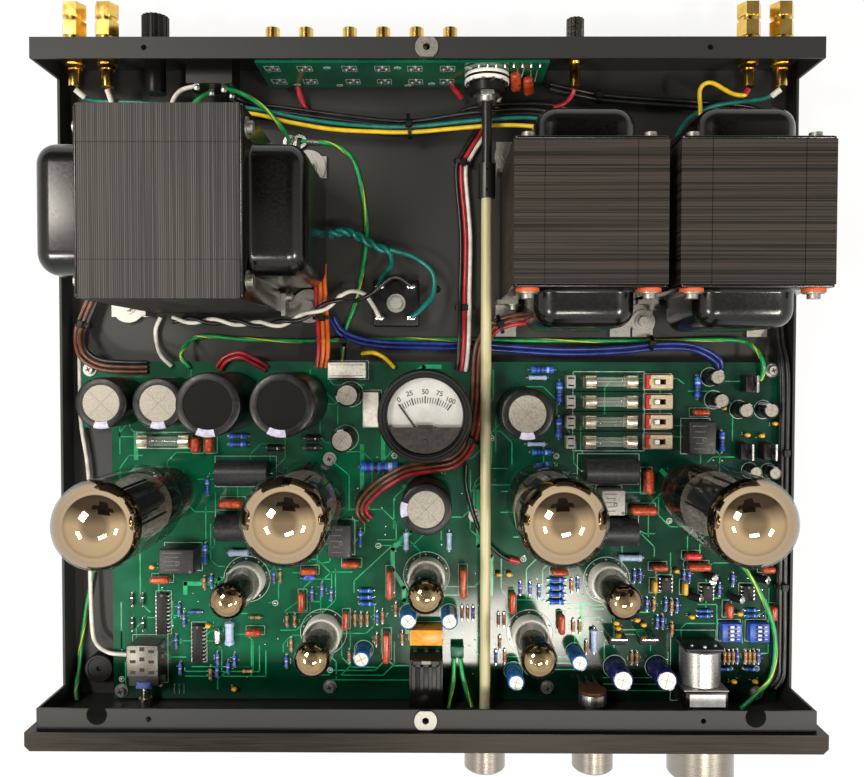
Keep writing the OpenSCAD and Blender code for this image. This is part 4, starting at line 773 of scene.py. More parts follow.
# %% Electrolytic capacitors
# Place, radius, height and the stripe's angle
silver_caps = [(-188, 185.5, 15, 34, -90), (-155, 185.5, 15, 34, -90), (0, 125, 15, 38, 180),
               (58, 180, 15, 38, -90), (-47, 190, 7, 22, 200), (-50, 163, 7, 22, 100),
               (174, 201, 4.8, 16, 60), (176.5, 187, 4.8, 16, 240), (192, 181, 4.8, 14, 60),
               (207, 181, 4.8, 14, 120), (199, 143.5, 4, 12, 200), (210.5, 143, 4, 12, 90)]
black_caps = [(-119.5, 185.8, 18, 58, -95), (-79, 185.8, 18, 58, -100)]
blue_caps = [(-11, 54, 5, 18, 0), (14, 54, 5, 18, 70), (-39, 31, 5, 18, 160), (54, 18, 5, 20, -60),
             (92, 30, 5, 20, -60), (117, 21, 6.3, 24, -60), (143, 21, 6.3, 24, -60)]
bm = bmesh.new()
for x, y, r, h, turn in silver_caps:
    stamp(bm, can(r, h, 0.28 if r > 10 else 0.15), at(x, y), turn=turn)
    stamp(bm, vent(r, h), at(x, y), turn=turn + 45)
for x, y, r, h, turn in black_caps:
    stamp(bm, can(r, h, 0.24, top=4), at(x, y), turn=turn)
piece("filter_cap_cans", bm, "sleeve_black can_top stripe_lilac vent_grey cap_dark",
      ["filter_caps"])

bm = bmesh.new()
for x, y, r, h, turn in blue_caps:
    stamp(bm, can(r, h, 0.16, sleeve=4 if r > 6 else 0), at(x, y), turn=turn)
    stamp(bm, vent(r * 0.9, h), at(x, y), turn=turn + 45)
piece("blue_cap_cans", bm, "sleeve_blue can_bright stripe_white vent_grey sleeve_violet",
      ["blue_caps"])

# %% [markdown]
# Film capacitors are wound foil in a dark moulded tube with slightly sunken ends, lying
# on the board with a lead bent down at each end.

# %% Film capacitors
finish("film_grey", "1e1f22", "2d2e32", 2.2, (0.32, 0.45), bump=0.01, shine=0.35)
finish("film_end", "1b1b1e", "2a2a2e", 1.2, (0.4, 0.55), bump=0.012)
FILM_L, FILM_LEAD = 32, 0.45
film_caps = [(-112, 142, 16), (-112, 108.5, 16.5), (112, 144, 16.5), (112, 106.5, 16.5)]
bm = bmesh.new()
for x, y, d in film_caps:
    r = d / 2
    half = [(0, 0.5), (r - 1.6, 0.5), (r - 1.2, 0), (r - 0.4, 0), (r, 0.5)]
    tube = half + [(radius, FILM_L - z) for radius, z in reversed(half)]
    shape = turned(tube, 36, lambda c: 1 if math.hypot(c.x, c.y) < r - 0.5 else 0)
    stamp(bm, shape, at(x - FILM_L / 2, y, r), lay=ALONG_X)
    for way in (-1, 1):
        end = x + way * FILM_L / 2
        rod(bm, at(end, y, r), at(end + way * 2, y, r), FILM_LEAD, 2)
        rod(bm, at(end + way * 1.8, y, r + 0.3), at(end + way * 1.8, y, 0), FILM_LEAD, 2)
piece("film_cap_tubes", bm, "film_grey film_end tin_bright", ["film_caps"])

# %% [markdown]
# Axial resistors are dog-bones: a thick cap at each end, a thinner painted middle and
# colour bands round it. The band finish is picked by how far along the body a face
# lies. Their tinned leads bend down into the board.

# %% Axial bodies
family(1.4, (0.28, 0.4), "body_lilac 8fa3c8 a9bbd8", "body_blue 1d4cb0 2c64c8")
family(1.4, (0.3, 0.45), "body_tan 96714c b08a60", "body_black 17171a 28282b")
family(0.8, (0.3, 0.45), "band_navy 17276a 223785", "band_brown 4c2413 683419", "band_red 8f1f1a b02f27",
       "band_dark 15130f 25211b")
finish("band_gold", "9b7a2e", "bf9a45", 0.8, (0.25, 0.4), metal=0.4)
LILAC, BLUE, TAN, BLACK, BROWN, RED, DARK, GOLD, TIN, NAVY = range(10)
SMALL = 6.5, 2.3
LEAD_R = 0.28


def axial(length, d, body, bands):
    """A body along X with its bands, on leads that reach down to the board."""
    r, half = d / 2, length / 2
    cap = min(0.22 * length, 2.6)
    inner = length - 2 * cap
    cuts = [-half + cap]
    for k in range(len(bands)):
        middle = -half + cap + inner * (k + 0.5) / len(bands)
        reach = 0.288 * inner / len(bands)
        cuts += [middle - reach, middle + reach]
    cuts.append(half - cap)
    line = [(0, -half), (0.7 * r, -half), (r, -half + 0.3), (r, -half + cap - 0.4)]
    line += [(0.86 * r, z) for z in cuts]
    line += [(r, half - cap + 0.4), (r, half - 0.3), (0.7 * r, half), (0, half)]

    def tint(c):
        for k, band in enumerate(bands):
            if cuts[1 + 2 * k] < c.z < cuts[2 + 2 * k]:
                return band
        return body

    bm = bmesh.new()
    axis = r + 0.6
    stamp(bm, turned(line, 12, tint), (0, 0, axis), lay=ALONG_X)
    for way in (-1, 1):
        rod(bm, (way * half, 0, axis), (way * (half + 1.3), 0, axis), LEAD_R, TIN, 6)
        rod(bm, (way * (half + 1.1), 0, r + 0.85), (way * (half + 1.1), 0, 0), LEAD_R, TIN, 6)
    return stencil(bm)


# %% [markdown]
# Larger bodies are typed with their size, and the many small ones share one size, so
# only their places are listed. The band codes take turns along each list. A diode is the
# same shape in black with one bright band.

# %% Resistors and diodes
# Place, length, thickness and whether the body runs along Y
blue_bodies = [(-116, 164, 11, 3.6, 0), (-116, 159, 11, 3.6, 0), (-135.5, 133, 9, 3, 1),
               (-137, 91.5, 11, 3.6, 1), (-41, 101.5, 9, 3, 1), (-29, 145.5, 23, 6.6, 0),
               (-37.5, 68.5, 8, 3, 0), (-37.5, 64.4, 8, 3, 0), (-36.8, 60.3, 8, 3, 0),
               (81.3, 191.6, 12.5, 4.4, 1), (81, 169.8, 12, 4.4, 1), (70.7, 154.5, 12, 4, 0),
               (166, 194.7, 12.5, 4.2, 1), (181, 161.4, 12, 4, 1), (80.4, 75.6, 9, 3.4, 0),
               (80.4, 71, 9, 3.4, 0), (80.4, 66.4, 9, 3.4, 0), (80.4, 61.8, 9, 3.4, 0),
               (172, 56.4, 7, 2.3, 0), (172, 53.2, 7, 2.3, 0), (201, 57, 7, 2.3, 0), (201, 53.6, 7, 2.3, 0),
               (70.7, 205.2, 14, 4.6, 0), (185, 20.2, 7, 2.3, 0), (201, 20.2, 7, 2.3, 0)]
lilac_bodies = [(-116, 92, 12, 4.6, 0), (-121.7, 42, 14, 6, 1), (-12.7, 99.5, 11, 3.4, 1),
                (13.9, 99.5, 11, 3.4, 1), (68, 200.3, 11, 3, 0), (67.5, 159.6, 11, 3, 0),
                (125.5, 89.5, 14, 4.6, 0), (103.5, 38, 14, 4.6, 1)]
# Places of small bodies, which all run along Y
blue_small = [(-153.5, 56.5), (-150.4, 50.2), (-155.5, 36), (-129.7, 26), (-119.3, 24.5), (-123.3, 20),
              (-130, 17.2), (-153, 19), (-94.7, 77), (-133.4, 74), (-71, 66), (-64.8, 69), (-59, 66),
              (-87, 23.8), (-30.7, 51.3), (58, 70), (64, 70), (69.5, 68), (93.5, 73), (128.4, 78), (132, 78),
              (136.4, 60.5), (148, 60.5), (155, 59.5), (142.8, 49.5), (146.1, 49.5), (43, 27), (192.6, 27.8),
              (205.6, 27.8), (162.3, 78), (159, 78), (189.3, 76), (181, 70), (28.8, 54.5)]
tan_small = [(-90.7, 77), (-137.7, 73), (-86.4, 49.7), (-81.6, 49.7), (-84, 34.3), (-44.4, 50.5),
             (-40.6, 50.5), (-36.8, 50.5), (-27.3, 52.3), (-19, 57), (-31, 37.5), (-15, 39), (-134.2, 16),
             (-48, 27.5), (89.7, 72), (140.6, 60.5), (151.6, 59.5), (90.8, 46.5), (94.8, 46.5), (99, 33.5),
             (127.3, 27), (130.4, 27), (44.6, 50.5), (48, 50.5), (45.4, 36), (48.5, 27.5), (22, 54.6),
             (25.4, 54.6), (184.5, 27.8), (187.2, 27.8), (189.9, 27.8), (197.5, 27.8), (200.2, 27.8),
             (202.9, 27.8), (152, 45)]
blue_codes = (RED, BROWN, DARK, LILAC), (BROWN, DARK, LILAC, RED)
tan_codes = (BROWN, DARK, RED, GOLD), (RED, RED, BROWN, GOLD), (BROWN, BROWN, RED, GOLD)
bm = bmesh.new()
for x, y, length, d, along in blue_bodies:
    stamp(bm, axial(length, d, BLUE, (NAVY, DARK, NAVY, LILAC)), at(x, y), turn=90 * along)
for x, y, length, d, along in lilac_bodies:
    stamp(bm, axial(length, d, LILAC, ()), at(x, y), turn=90 * along)
for places, body, codes in ((blue_small, BLUE, blue_codes), (tan_small, TAN, tan_codes)):
    for k, (x, y) in enumerate(places):
        stamp(bm, axial(*SMALL, body, codes[k % len(codes)]), at(x, y), turn=90)
for places, body, codes in ((((-143.2, 54.8), (-73.5, 76)), BLUE, (BROWN, DARK, RED)),
                            (((-106, 51.5), (-111, 17.8)), TAN, tan_codes[0])):
    for x, y in places:
        stamp(bm, axial(*SMALL, body, codes), at(x, y))
DIODE = BLACK, (BLACK, BLACK, TIN)
for x, y in ((-182.5, 62.5), (-176, 62.5), (-182.5, 47), (-176, 47)):
    stamp(bm, axial(6.5, 2.6, *DIODE), at(x, y), turn=90)
for x, y in ((-93.3, 157), (-70, 162.8), (-70, 157)):
    stamp(bm, axial(9, 4.6, *DIODE), at(x, y))
bodies = "body_lilac body_blue body_tan body_black "
bands = "band_brown band_red band_dark band_gold tin_bright band_navy"
piece("resistors_banded", bm, bodies + bands, ["resistors"])

# %% [markdown]
# Dipped capacitors are pillows of resin on two leads. A block whose edges are bevelled
# almost to its middle gives the pillow. The beads are small resin drops.

# %% Dipped capacitors
family(2.4, (0.22, 0.34), "dip_brown 8f3217 b2461f", "dip_red a8201f c9322c", bump=0.02)
finish("dip_mustard", "a5790f", "c79a1f", 2.4, (0.25, 0.36), bump=0.02)
finish("bead_amber", "c8890f", "e2a92a", 1.6, (0.25, 0.36), bump=0.02)
# Place, length, thickness, height and whether the body runs along Y
dipped = [(-141.5, 158.9, 10, 5.5, 9, 1), (-133.2, 158.9, 10, 5.5, 9, 1), (-120, 123, 14, 5, 10, 0),
          (-164, 75.5, 12, 4, 8, 0), (-46.5, 85.5, 11, 4, 8, 0), (-72.5, 81, 10, 4, 8, 0),
          (-77, 62, 12, 4, 8, 1), (-22.5, 74, 18, 4, 12, 1), (-49.8, 50.5, 11, 3.4, 8, 1),
          (-24.5, 35, 18, 4, 12, 1), (-106.5, 43, 10, 4, 8, 0), (135.5, 137, 15, 5.5, 11, 1),
          (132.5, 119.5, 16, 5.5, 11, 0), (167.5, 179.3, 10, 3.6, 8, 0), (143, 84, 10, 4, 8, 0),
          (167, 84.5, 14, 4.4, 9, 0), (163.5, 91, 10, 4, 8, 0), (209.5, 83, 8, 4, 8, 0),
          (22.5, 75, 18, 4, 12, 1), (53, 62, 13, 4, 9, 1), (83, 49, 12, 4, 9, 1), (186, 57.5, 9, 4, 8, 1),
          (213, 56, 9, 4, 8, 1), (82, 80.8, 10, 4, 8, 0), (140.2, 72, 8, 3, 7, 1), (158.9, 71, 8, 3, 7, 1)]
tints = {163.5: 1, 140.2: 2, 158.9: 2}
beads = [(-169.5, 83), (-119, 7), (-135, 46.5), (117.2, 49), (130, 51), (196.5, 165.5), (205.3, 165),
         (44.3, 79), (51, 79), (163.7, 53), (193.3, 55), (190, 13), (203, 13), (154, 81.5), (182, 182),
         (213.5, 172.5), (178.5, 77), (206, 77.5), (118.5, 45.7), (134, 48)]
AMBER, DIP_TIN = 3, 4
bm = bmesh.new()
for x, y, length, thick, tall, along in dipped:
    pillow = boxed(length, thick, tall - 1.5, 0.42 * thick, 4, tints.get(x, 0))
    stamp(bm, pillow, at(x, y, 1.5), turn=90 * along)
    for way in (-0.35, 0.35):
        spot = at(x, y) + way * length * Vector((1 - along, along, 0))
        rod(bm, spot, spot + Vector((0, 0, 2.2)), 0.3, DIP_TIN, 6)
bead = turned([(0, 1.2), (1.1, 1.5), (1.8, 2.4), (1.9, 3.4), (1.4, 4.5), (0, 5)], 14, AMBER)
for x, y in beads:
    stamp(bm, bead, at(x, y), size=(1, 0.75, 1))
    for way in (-1.0, 1.0):
        rod(bm, at(x + way, y), at(x + way, y, 2), 0.25, DIP_TIN, 6)
piece("dipped_cap_set", bm, "dip_brown dip_red dip_mustard bead_amber tin_bright",
      ["dipped_caps"])

# %% [markdown]
# Cement resistors, box capacitors and the grey blocks beside the fuses are mouldings with
# softened edges and a few raised lines. The buzzer on the pan is a turned cup with a hole
# in its lid.

# %% Moulded boxes
family(2.0, (0.3, 0.45), "box_white c9c6bb e2e0d8", "box_green 0b4a36 14644a", "box_grey 8b8985 a5a39e",
       bump=0.01)
finish("box_orange", "c07a15", "dc9526", 2.0, (0.25, 0.38), bump=0.01)
finish("chip_black", "0c0c0d", "181819", 1.4, (0.4, 0.55), bump=0.015, shine=0.25)
FUSE_ROWS = 198, 185.8, 173.6, 161.4
bm = bmesh.new()
blocks(bm, at(0, 0), (-48.5, 204.8, 0, 23, 9.5, 9, 0.5, 2, 0), (-33.8, 181, 0, 9.5, 21, 10, 0.5, 2, 0),
       (0, 43, 0, 20, 9.5, 14, 0.5, 2, 1), (19, 32, 0, 8, 7, 8, 0.5, 2, 2),
       (-48.5, 201.5, 8.9, 19.5, 0.5, 0.4, 0.1, 1, 3), (-48.5, 208, 8.9, 19.5, 0.5, 0.4, 0.1, 1, 3))
stamp(bm, boxed(11, 4.6, 4.6, 2.1, 4, 5), at(-129.5, 39.5, 0.3), turn=90)
for y in FUSE_ROWS:
    blocks(bm, at(87.5, y), (0, 0, 0, 5.4, 8, 9, 0.4, 2, 3), (0, -2.2, 8.8, 3.6, 0.9, 0.5, 0.1, 1, 4),
           (0, 2.2, 8.8, 3.6, 0.9, 0.5, 0.1, 1, 4))
buzzer = [(0, 0), (9, 0), (9, 7.2), (8.4, 8), (7, 8), (6.6, 7.5), (1.6, 7.5), (1.4, 6), (0, 6)]
stamp(bm, turned(buzzer, 32, 4), at(-206, 17, pan_floor - board_top))
piece("box_part_set", bm, "box_white box_orange box_green box_grey chip_black tin_bright",
      ["box_parts"])

# %% [markdown]
# Relays, chips and tab transistors start as blocks too. What tells them apart is small:
# pins beside a chip, a metal tab behind a transistor, a pip and plain panel lines on a
# relay.

# %% Relays and chips
finish("relay_grey", "1d1d1e", "2b2b2c", 2.0, (0.35, 0.5), bump=0.015, shine=0.35)
finish("relay_line", "424244", "565658", 1.0, (0.4, 0.5))
RELAY, LINE, CHIP, PIN, PALE_RELAY = range(5)
relays = [(165.5, 164.5, 16, 20, RELAY), (-151, 89, 21, 15, RELAY), (112.5, 125.3, 14, 15, PALE_RELAY),
          (-52.5, 101.5, 14, 20, RELAY)]
chips = [(-163.5, 54, 25.5, 10), (-141.5, 35.5, 23, 9), (147.5, 73, 9.5, 4), (173, 68, 9.5, 4),
         (198, 68, 9.5, 4)]
tabs = [(116.5, 41, 0), (135, 41, 0), (193.5, 156, -90), (207.5, 156, -90), (196, 197, -90)]
tilted_cans = [(172.5, 79, 20), (179, 76.5, -35), (162, 66, 40), (188, 65.5, 30), (203, 77.5, 35)]
PIN_PITCH = 2.4
bm = bmesh.new()
for x, y, w, d, tint in relays:
    stamp(bm, boxed(w, d, 15, 0.7, 3, tint), at(x, y))
    stamp(bm, washer(0.7, 1.3, 0, 0.15, 16, LINE), at(x + 1, y - 1, 15))
    for k, share in enumerate((0.55, 0.4, 0.48, 0.3, 0.42)):
        line = boxed(share * w, 0.5, 0.1, 0, 1, LINE)
        stamp(bm, line, at(x - 0.12 * w, y + 0.36 * d - 0.17 * d * k, 14.97))
    stamp(bm, disc(1, 0.2, 12, LINE), at(x + 0.4 * w, y - 0.4 * d, 14.95))
for x, y, d, pins in chips:
    stamp(bm, boxed(6.2, d, 3.6, 0.35, 2, CHIP), at(x, y, 0.9))
    stamp(bm, disc(0.8, 0.1, 12, LINE), at(x, y + d / 2 - 1.2, 4.45))
    for k in range(pins):
        pin = at(x, y + (k - (pins - 1) / 2) * PIN_PITCH)
        for way in (-1, 1):
            blocks(bm, pin, (way * 3.5, 0, 2.6, 1.5, 1.1, 0.35, 0.1, 1, PIN),
                   (way * 4.1, 0, 0, 0.35, 1.1, 2.9, 0.1, 1, PIN))
for x, y, turn in tabs:
    swing = spun(turn, size=3)
    stamp(bm, boxed(10, 4.4, 10, 0.4, 2, CHIP), at(x, y) + swing @ Vector((0, -1.1, 0)), turn=turn)
    stamp(bm, boxed(10, 1.4, 15.6, 0.25, 1, PIN), at(x, y, 0.3) + swing @ Vector((0, 1.8, 0)), turn=turn)
    hole = at(x, y, 13) + swing @ Vector((0, 1.08, 0))
    stamp(bm, disc(1.8, 0.06, 20, CHIP), hole, turn=turn, lay=ALONG_FRONT)
tiny_can = turned([(0, 0), (2.4, 0), (2.4, 8.6), (1.7, 9), (1.7, 8.8), (0, 8.8)], 16,
                  lambda c: PIN if c.z > 8.7 else CHIP)
for x, y, lean in tilted_cans:
    stamp(bm, tiny_can, at(x, y, 2.4), lay=spun(lean, "Y"))
piece("relay_chip_set", bm, "relay_grey relay_line chip_black tin_bright box_grey",
      ["relays_and_chips"])

# %% [markdown]
# Glass fuses lie in sprung clips: a clear tube, a turned cap at each end and a thin
# wire between. The glass uses the same shell as the tubes, only paler.

# %% Fuses
clear_glass("fuse_clear", "b9c2bd", "d3dad6", 0.10, 0.62)
finish("fuse_cap_metal", "cfc8b6", "e6e0d0", 5.0, (0.26, 0.36), metal=0.9)
FUSE_Z, FUSE_HALF = 7.2, 15.9
bm = bmesh.new()
end_cap = turned([(0, 0), (2.7, 0), (3.3, 0.4), (3.3, 6.2), (3.15, 6.6), (2.9, 6.6)], 24, 1)
tube = turned([(2.9, 5.6), (2.95, 6), (2.95, 25.8), (2.9, 26.2)], 24, 0)
for x, y in [(112, row) for row in FUSE_ROWS] + [(-160.5, 161.2)]:
    stamp(bm, tube, at(x - FUSE_HALF, y, FUSE_Z), lay=ALONG_X)
    for way, turn in ((-1, 0), (1, 180)):
        stamp(bm, end_cap, at(x + way * FUSE_HALF, y, FUSE_Z), turn=turn, lay=ALONG_X)
    rod(bm, at(x - 10, y, 7.6), at(x, y, 6.6), 0.18, 1, 6)
    rod(bm, at(x, y, 6.6), at(x + 10, y, 7.4), 0.18, 1, 6)
    for way in (-12.6, 12.6):
        blocks(bm, at(x + way, y), (0, 0, 0, 7, 7.4, 1.2, 0.3, 1, 1), (0, -3.5, 0.6, 7, 0.7, 9.2, 0.3, 1, 1),
               (0, 3.5, 0.6, 7, 0.7, 9.2, 0.3, 1, 1))
piece("fuse_set_glass", bm, "fuse_clear fuse_cap_metal", ["fuses"])

# %% [markdown]
# A bias switch is a red block with a slot that its lever slides in, under a beige
# frame. The slot follows the lever's own size, so the block is made of four bars
# round it. The two small blue switches have four fixed levers each.

# %% Board switches
finish("switch_red", "9c1c17", "bd2c24", 1.6, (0.3, 0.42), bump=0.01)
finish("frame_beige", "a99c81", "c9bd9f", 1.0, (0.3, 0.42), metal=0.35, bump=0.01)
finish("dip_blue", "163a94", "2450b4", 1.8, (0.28, 0.4), bump=0.01)
LEVER_TRAVEL, BLOCK_L, BLOCK_W, BEIGE_W, WAY_PITCH = 4.2, 16, 8.5, 8.3, 2.54
lever_low, lever_high = box_mm("bias_lever_1")
slot_w = lever_high.y - lever_low.y + 0.6
slot_l = slot_w + LEVER_TRAVEL
end_l = (BLOCK_L - slot_l) / 2
bm = bmesh.new()
for y in FUSE_ROWS:
    for way in (-1, 1):
        blocks(bm, at(142, y),
               (0, way * (BLOCK_W + slot_w) / 4, 0, BLOCK_L, (BLOCK_W - slot_w) / 2, 5.2, 0.2, 1, 0),
               (way * (BLOCK_L + slot_l) / 4, 0, 0, end_l, slot_w, 5.2, 0.2, 1, 0),
               (1.2, way * (BEIGE_W + slot_w) / 4, 5.3, 13.4, (BEIGE_W - slot_w) / 2, 0.6, 0.15, 1, 1))
    blocks(bm, at(142, y), (-slot_l / 4 - 3.2, 0, 5.3, end_l - 1.6, slot_w + 0.4, 0.6, 0.15, 1, 1),
           (slot_l / 4 + 3.95, 0, 5.3, end_l - 0.1, slot_w + 0.4, 0.6, 0.15, 1, 1),
           (0, 0, 0, slot_l, slot_w, 1.2, 0, 1, 2))
for x in (187.5, 204.5):
    blocks(bm, at(x, 44), (0, 0, 0, 12, 11.5, 6, 0.4, 2, 3))
    for k in range(4):
        blocks(bm, at(x, 44 + (k - 1.5) * WAY_PITCH), (0, 0, 5.95, 5.2, 1.7, 0.12, 0, 1, 2),
               (0, 0, 6, 2.4, 1.4, 0.6, 0.2, 1, 4), (3.9, 0, 5.98, 1.4, 0.35, 0.08, 0, 1, 4))
piece("board_switch_set", bm, "switch_red frame_beige chip_black dip_blue lever_white",
      ["board_switches"])

# %% [markdown]
# The meter is a black cup that stands on the board and is read from above. Its rim rolls
# over, and inside it a step holds the dial. One half outline, from the foot round the
# rim and down to the dial's seat, is turned.

# %% Meter case
low, high = box_mm("meter_case")
meter = Vector(((low.x + high.x) / 2, (low.y + high.y) / 2, low.z))
pivot = meter + Vector((0, -15, 0))
cup = [(0, 0), (21, 0), (21, 31), (26.6, 32.6), (27, 33.4), (27, 43.2), (26.4, 44.6), (25.6, 45),
       (24.6, 44.9), (24.0, 44.2), (23.4, 44.2), (22.4, 43.6), (21.6, 42.2), (21.6, 36.9), (0, 36.9)]
bm = bmesh.new()
stamp(bm, turned(cup, 64), meter)
piece("meter_bezel", bm, "plastic_black", ["meter_case"], angle=30)

# %% [markdown]
# The dial is white, with a scale that is part of a circle about the needle's pivot, so
# its ticks are set out by angle from that pivot. Figures are text turned into mesh, then
# laid on the dial. A dark cover hides the pivot, and a clear window closes the cup.

# %% Dial
finish("dial_white", "b4b5b3", "c0c1bf", 6.0, (0.5, 0.6))
finish("dial_ink", "141414", "242424", 1.0, (0.4, 0.5))
finish("cover_olive", "1e1c18", "2a2722", 2.5, (0.3, 0.42), bump=0.008)
clear_glass("window", "0c0c0c", "161616", 0.02, 0.25)
DIAL_INK, COVER, WINDOW = 1, 2, 3
figures = [("0", -15.0, 9.0), ("25", -9, 12.6), ("50", 0, 13.6), ("75", 8.2, 12.6), ("100", 14.4, 8.7)]
bm = bmesh.new()
stamp(bm, disc(21.55, 1, 64, z=37), meter)
stamp(bm, turned([(0, 38), (2.6, 38), (2.2, 40), (0, 40)], 20, DIAL_INK), pivot)
for k in range(21):
    near, far, width = (22.3, 25.6, 0.48) if k % 5 else (22.0, 26.2, 0.75)
    turn = 35 - 3.5 * k
    middle = spun(turn, size=3) @ Vector((0, (near + far) / 2, 37.98))
    stamp(bm, boxed(width, far - near, 0.08, 0, 1, DIAL_INK), pivot + middle, turn=turn)


def number(text, size):
    """Plain figures as a flat mesh, middle on the origin."""
    curve = bpy.data.curves.new("figure", "FONT")
    curve.body, curve.size, curve.align_x, curve.align_y = text, size, "CENTER", "CENTER"
    curve.offset = 0.05
    obj = bpy.data.objects.new("figure", curve)
    mesh = bpy.data.meshes.new_from_object(obj)
    bpy.data.objects.remove(obj)
    shape = bmesh.new()
    shape.from_mesh(mesh)
    return stencil(shape, DIAL_INK)


for text, x, y in figures:
    stamp(bm, number(text, 4.0), meter + Vector((x, y, 38.05)), turn=-1.6 * x)
plate = bmesh.new()
bmesh.ops.create_circle(plate, cap_ends=True, radius=21.4, segments=64)
bmesh.ops.bisect_plane(plate, geom=[*plate.verts, *plate.edges, *plate.faces], plane_co=(0, -6.5, 0),
                       plane_no=(0, 1, 0), clear_outer=True)
shell = bmesh.ops.extrude_face_region(plate, geom=plate.faces[:])["geom"]
raised = [part for part in shell if isinstance(part, bmesh.types.BMVert)]
bmesh.ops.translate(plate, vec=(0, 0, 1.3), verts=raised)
bmesh.ops.recalc_face_normals(plate, faces=plate.faces)
stamp(bm, stencil(plate, COVER), meter + Vector((0, 0, 40.3)))
blocks(bm, meter, (0, -6.2, 41.1, 9, 2.2, 0.5, 0.2, 1, COVER))
stamp(bm, turned([(0, 41.5), (1.8, 41.5), (1.6, 42), (0, 42)], 20, DIAL_INK), pivot)
stamp(bm, turned([(0, 43.0), (21.9, 42.9), (21.9, 43.2), (0, 43.35)], 64, WINDOW), meter)
piece("meter_face", bm, "dial_white dial_ink cover_olive window", ["meter_dial"])

# %% [markdown]
# Behind the front panel sit the volume control with its motor, the balance control, the
# mains switch and the headphone jack. They are blocks and turned cans like the board
# parts, drawn in place from the boxes of the solids they stand for. The volume control
# comes first: a plastic block, a brushed motor can behind it and a plate between them.

# %% Volume control
finish("can_brushed", "8f8f8d", "b5b5b2", 0.5, (0.25, 0.4), metal=0.9, stretch=(0.15, 1, 1))
finish("label_white", "d9dad8", "ecedeb", 3.0, (0.35, 0.5))
SHAFT_Z = 40.1
front = board_front + 4
low, high = box_mm("volume_control")
axis = (low.x + high.x) / 2
motor = [(0, 0), (11.2, 0), (12, 0.7), (12, 21.2), (11.4, 22), (3.4, 22), (3.2, 23), (0, 23)]
bm = bmesh.new()
blocks(bm, (axis, front, board_top), (0, 6, 0, 25, 11.6, 27.3, 0.5, 2, 0),
       (0.4, 6.6, 27.2, 21, 7.4, 0.25, 0.1, 1, 1), (0, 12, 0.4, 26.5, 0.8, 26, 0.2, 1, 2),
       (0, 35.2, 2, 23, 2.6, 22, 0.8, 2, 0))
stamp(bm, turned(motor, 48, 2), (axis, front + 12, board_top + 13), lay=ALONG_BACK)
screw = turned([(0, 0), (1.2, 0), (1.2, 1.2), (0.8, 1.6), (0, 1.6)], 12, 2)
for x, z in ((-7, 20), (7, 20), (0, 22)):
    stamp(bm, screw, (axis + x, front + 36.2, board_top + z), lay=ALONG_BACK)
stamp(bm, disc(4.5, 5.2, 24, 2), (axis, low.y, SHAFT_Z), lay=ALONG_BACK)
piece("volume_pot_motor", bm, "plastic_black label_white can_brushed", ["volume_control"])

# %% [markdown]
# The balance control is a small metal can with a brown board at its back, held up by a
# bracket and three flat pins.

# %% Balance control
finish("phenolic", "4a2a18", "6c4128", 1.2, (0.35, 0.5), bump=0.02)
low, high = box_mm("balance_pot")
axis = (low.x + high.x) / 2
pot = [(0, 0), (7.9, 0), (8.5, 0.5), (8.5, 6.2), (8.1, 6.8), (0, 6.8)]
bm = bmesh.new()
stamp(bm, turned(pot, 40, 0), (axis, front, SHAFT_Z), lay=ALONG_BACK)
stamp(bm, disc(8.2, 2, 40, 1, z=6.8), (axis, front, SHAFT_Z), lay=ALONG_BACK)
blocks(bm, (axis, front, board_top), (0, 4.5, 0, 12, 7, 11, 0.4, 1, 1),
       *((x, 8.4, 0, 2, 0.6, 9, 0.2, 1, 0) for x in (-4.5, 0, 4.5)))
stamp(bm, disc(4.5, 5.2, 24, 0), (axis, low.y, SHAFT_Z), lay=ALONG_BACK)
piece("balance_pot_can", bm, "pot_metal phenolic", ["balance_pot"])

# %% [markdown]
# The mains switch is a black block in a steel frame, with slots in its lid, two ears
# that screws go through, and a blue plunger toward the front.

# %% Mains switch
finish("switch_steel", "5f5d58", "797670", 0.8, (0.34, 0.48), metal=0.9)
finish("plunger_blue", "1d3a78", "2c4f98", 1.6, (0.3, 0.42))
low, high = box_mm("power_switch")
middle = (low + high) / 2
rivet = turned([(0, 0), (1.7, 0), (1.5, 0.9), (0, 1.1)], 16, 1)
bm = bmesh.new()
blocks(bm, (middle.x, middle.y, low.z), (0, 0, 0, 18.6, 25.6, 12.6, 0.4, 1, 0),
       *((0, y, 6, 21.5, 3, 0.9, 0.3, 1, 1) for y in (4, 10)))
blocks(bm, (middle.x, middle.y, high.z), (0, 3.4, -2.3, 19, 19, 2.2, 0.5, 2, 1))
for y in (-3.4, 3.2, 9.4):
    blocks(bm, (middle.x, middle.y + y, high.z - 0.12), (0, 1.5, 0, 3, 2.4, 0.1, 0, 1, 0),
           *((x, 0, 0, 3.4, 1.8, 0.1, 0, 1, 0) for x in (-5.6, 5.6)))
for x in (-8.6, 8.6):
    blocks(bm, (middle.x + x, low.y + 3, low.z + 6), (0, 0, 0, 5.5, 5, 0.9, 0.3, 1, 1))
    stamp(bm, rivet, (middle.x + x, low.y + 3, low.z + 6.9))
blocks(bm, (middle.x, low.y, low.z), (0, 1, 6.5, 9, 4.4, 7, 0.5, 1, 2))
piece("power_switch_body", bm, "plastic_black switch_steel plunger_blue", ["power_switch"])

# %% [markdown]
# The headphone jack is a ribbed plastic box on the board, with pins at its back and a
# hollow metal nose through the front panel.

